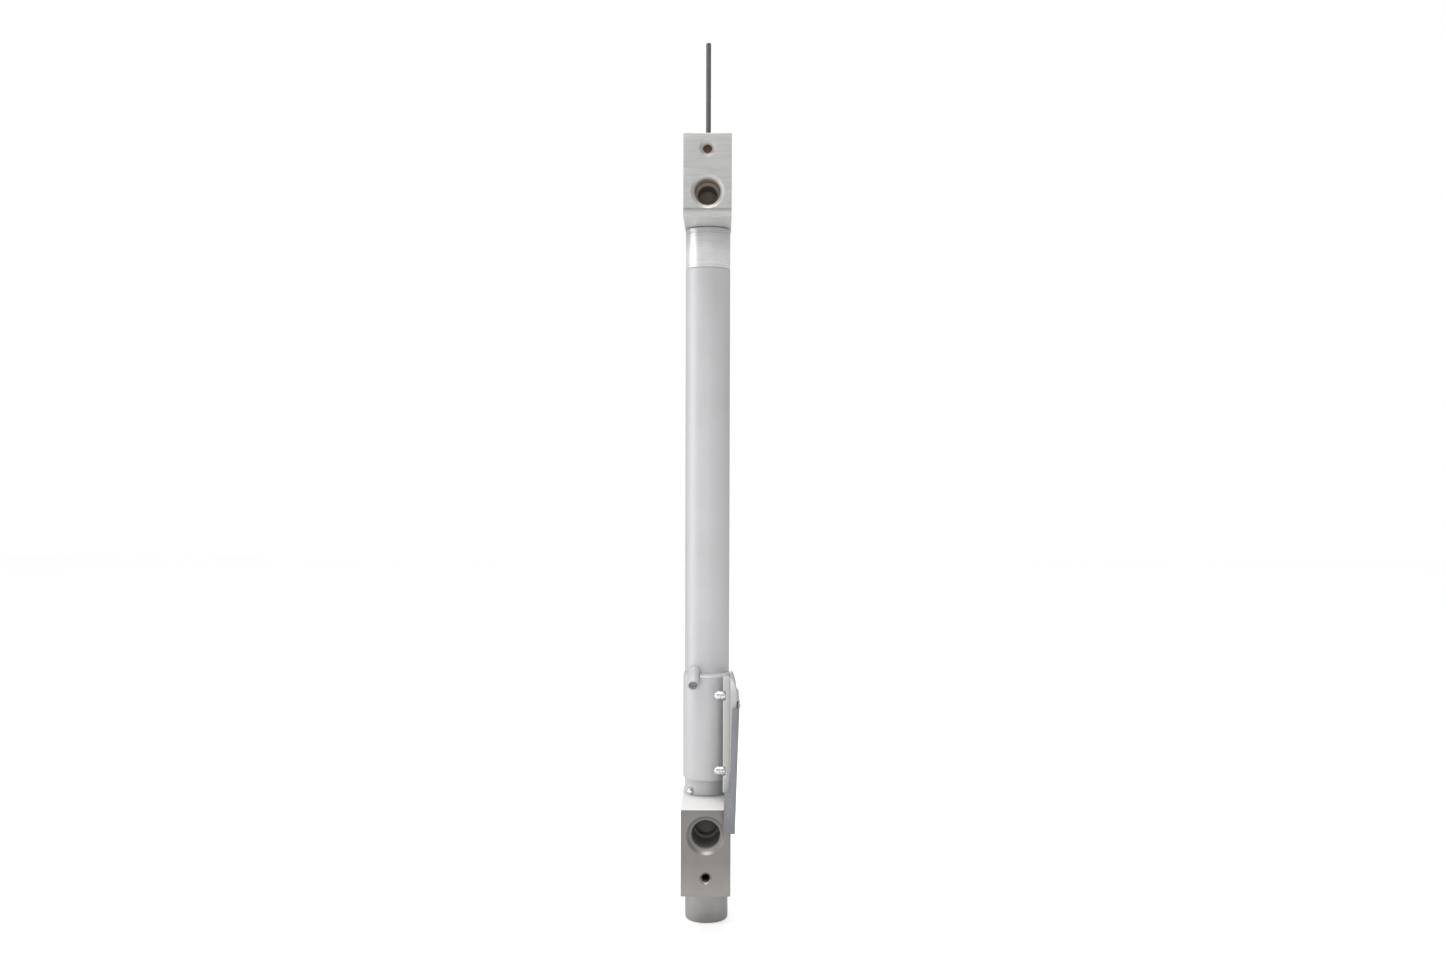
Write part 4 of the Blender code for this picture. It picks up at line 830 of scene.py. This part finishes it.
def make_cover_screws():
    profile = [(0, 1.5), (1.0, 1.4), (2.0, 1.1), (2.6, 0.6), (2.8, 0), (1.4, 0), (1.4, -1.9), (0, -1.9)]
    for number, (y, z) in enumerate(COVER_SCREWS, 1):
        place = LEAN @ at(UNIT_RIGHT + 0.1, y, z) @ turn_about("Y", 90)
        head = lathe(f"cover_bolt_{number}", profile, SMALL, place=place)
        carve(head, cross_recess(place @ at(0, 0, 1.5), 0.6, 0.7, 2.6))
        shown(head, "zinc", node=f"cover_screw_{number}")


make_front_block()
make_rear_block()
make_tube()
make_collar()
make_end_cap()
make_gland()
make_rod()
make_housing()
make_elbow()
make_bracket()
make_drain_screw()
make_switch_body()
make_switch_cover()
make_cover_screws()


# ---------------------------------------------------------------- stage, light and camera

def make_floor():
    """White paper just under the arm. It looks white without lighting the arm any more."""
    lowest = CAD_BOUNDS[0][2]
    bpy.ops.mesh.primitive_plane_add(size=FLOOR_SIZE, location=(0, 0, lowest - GAP * MM))
    floor = bpy.context.object
    floor.name = "floor"
    n = Nodes("pale_floor", (0.93, 0.93, 0.93), 0.0, 0.7)
    paper = n.ramp(n.noise(3, 2), 0.3, 0.7, (0.95, 0.95, 0.95), (0.97, 0.97, 0.97))
    floor.data.materials.append(n.finish(paper))
    seen = n.add("ShaderNodeLightPath")
    n.shader.inputs["Emission Color"].default_value = (1, 1, 1, 1)
    glow = n.maths("MULTIPLY", seen.outputs["Is Camera Ray"], PAPER_GLOW)
    n.link(glow, n.shader.inputs["Emission Strength"])


def add_light(name, place, aim, size, power):
    data = bpy.data.lights.new(name, "AREA")
    data.shape = "RECTANGLE"
    data.size, data.size_y = size
    data.energy = power
    lamp = bpy.data.objects.new(name, data)
    bpy.context.scene.collection.objects.link(lamp)
    lamp.location = place
    lamp.rotation_euler = (Vector(aim) - Vector(place)).to_track_quat("-Z", "Y").to_euler()
    return lamp


def make_light():
    """A pale studio: a soft white surround, a wide lamp overhead, a strip at the left and a fill in front."""
    world = bpy.data.worlds.new("studio")
    bpy.context.scene.world = world
    world.use_nodes = True
    nodes, links = world.node_tree.nodes, world.node_tree.links
    background = nodes["Background"]
    background.inputs["Color"].default_value = (1, 1, 1, 1)
    seen = nodes.new("ShaderNodeLightPath")
    strength = nodes.new("ShaderNodeMapRange")
    strength.inputs["To Min"].default_value = FILL
    strength.inputs["To Max"].default_value = 1.0
    links.new(seen.outputs["Is Camera Ray"], strength.inputs["Value"])
    links.new(strength.outputs["Result"], background.inputs["Strength"])
    add_light("overhead", **OVERHEAD)
    add_light("left_strip", **LEFT_STRIP)
    # the fill softens shadows and isn't mirrored in the metal
    fill = add_light("front_fill", **FRONT_FILL)
    fill.visible_glossy = False


def make_camera():
    """The camera stands a little to the right of the arm, at about two fifths of its height."""
    data = bpy.data.cameras.new("camera")
    data.sensor_width = SENSOR_WIDTH
    data.lens = CAMERA_LENS
    camera = bpy.data.objects.new("camera", data)
    bpy.context.scene.collection.objects.link(camera)
    camera.location = CAMERA_PLACE
    camera.rotation_euler = (turn_about("X", 90 + CAMERA_PITCH) @ turn_about("Z", CAMERA_ROLL)).to_euler()
    bpy.context.scene.camera = camera


make_floor()
make_light()
make_camera()
bpy.context.scene.view_settings.view_transform = "Standard"
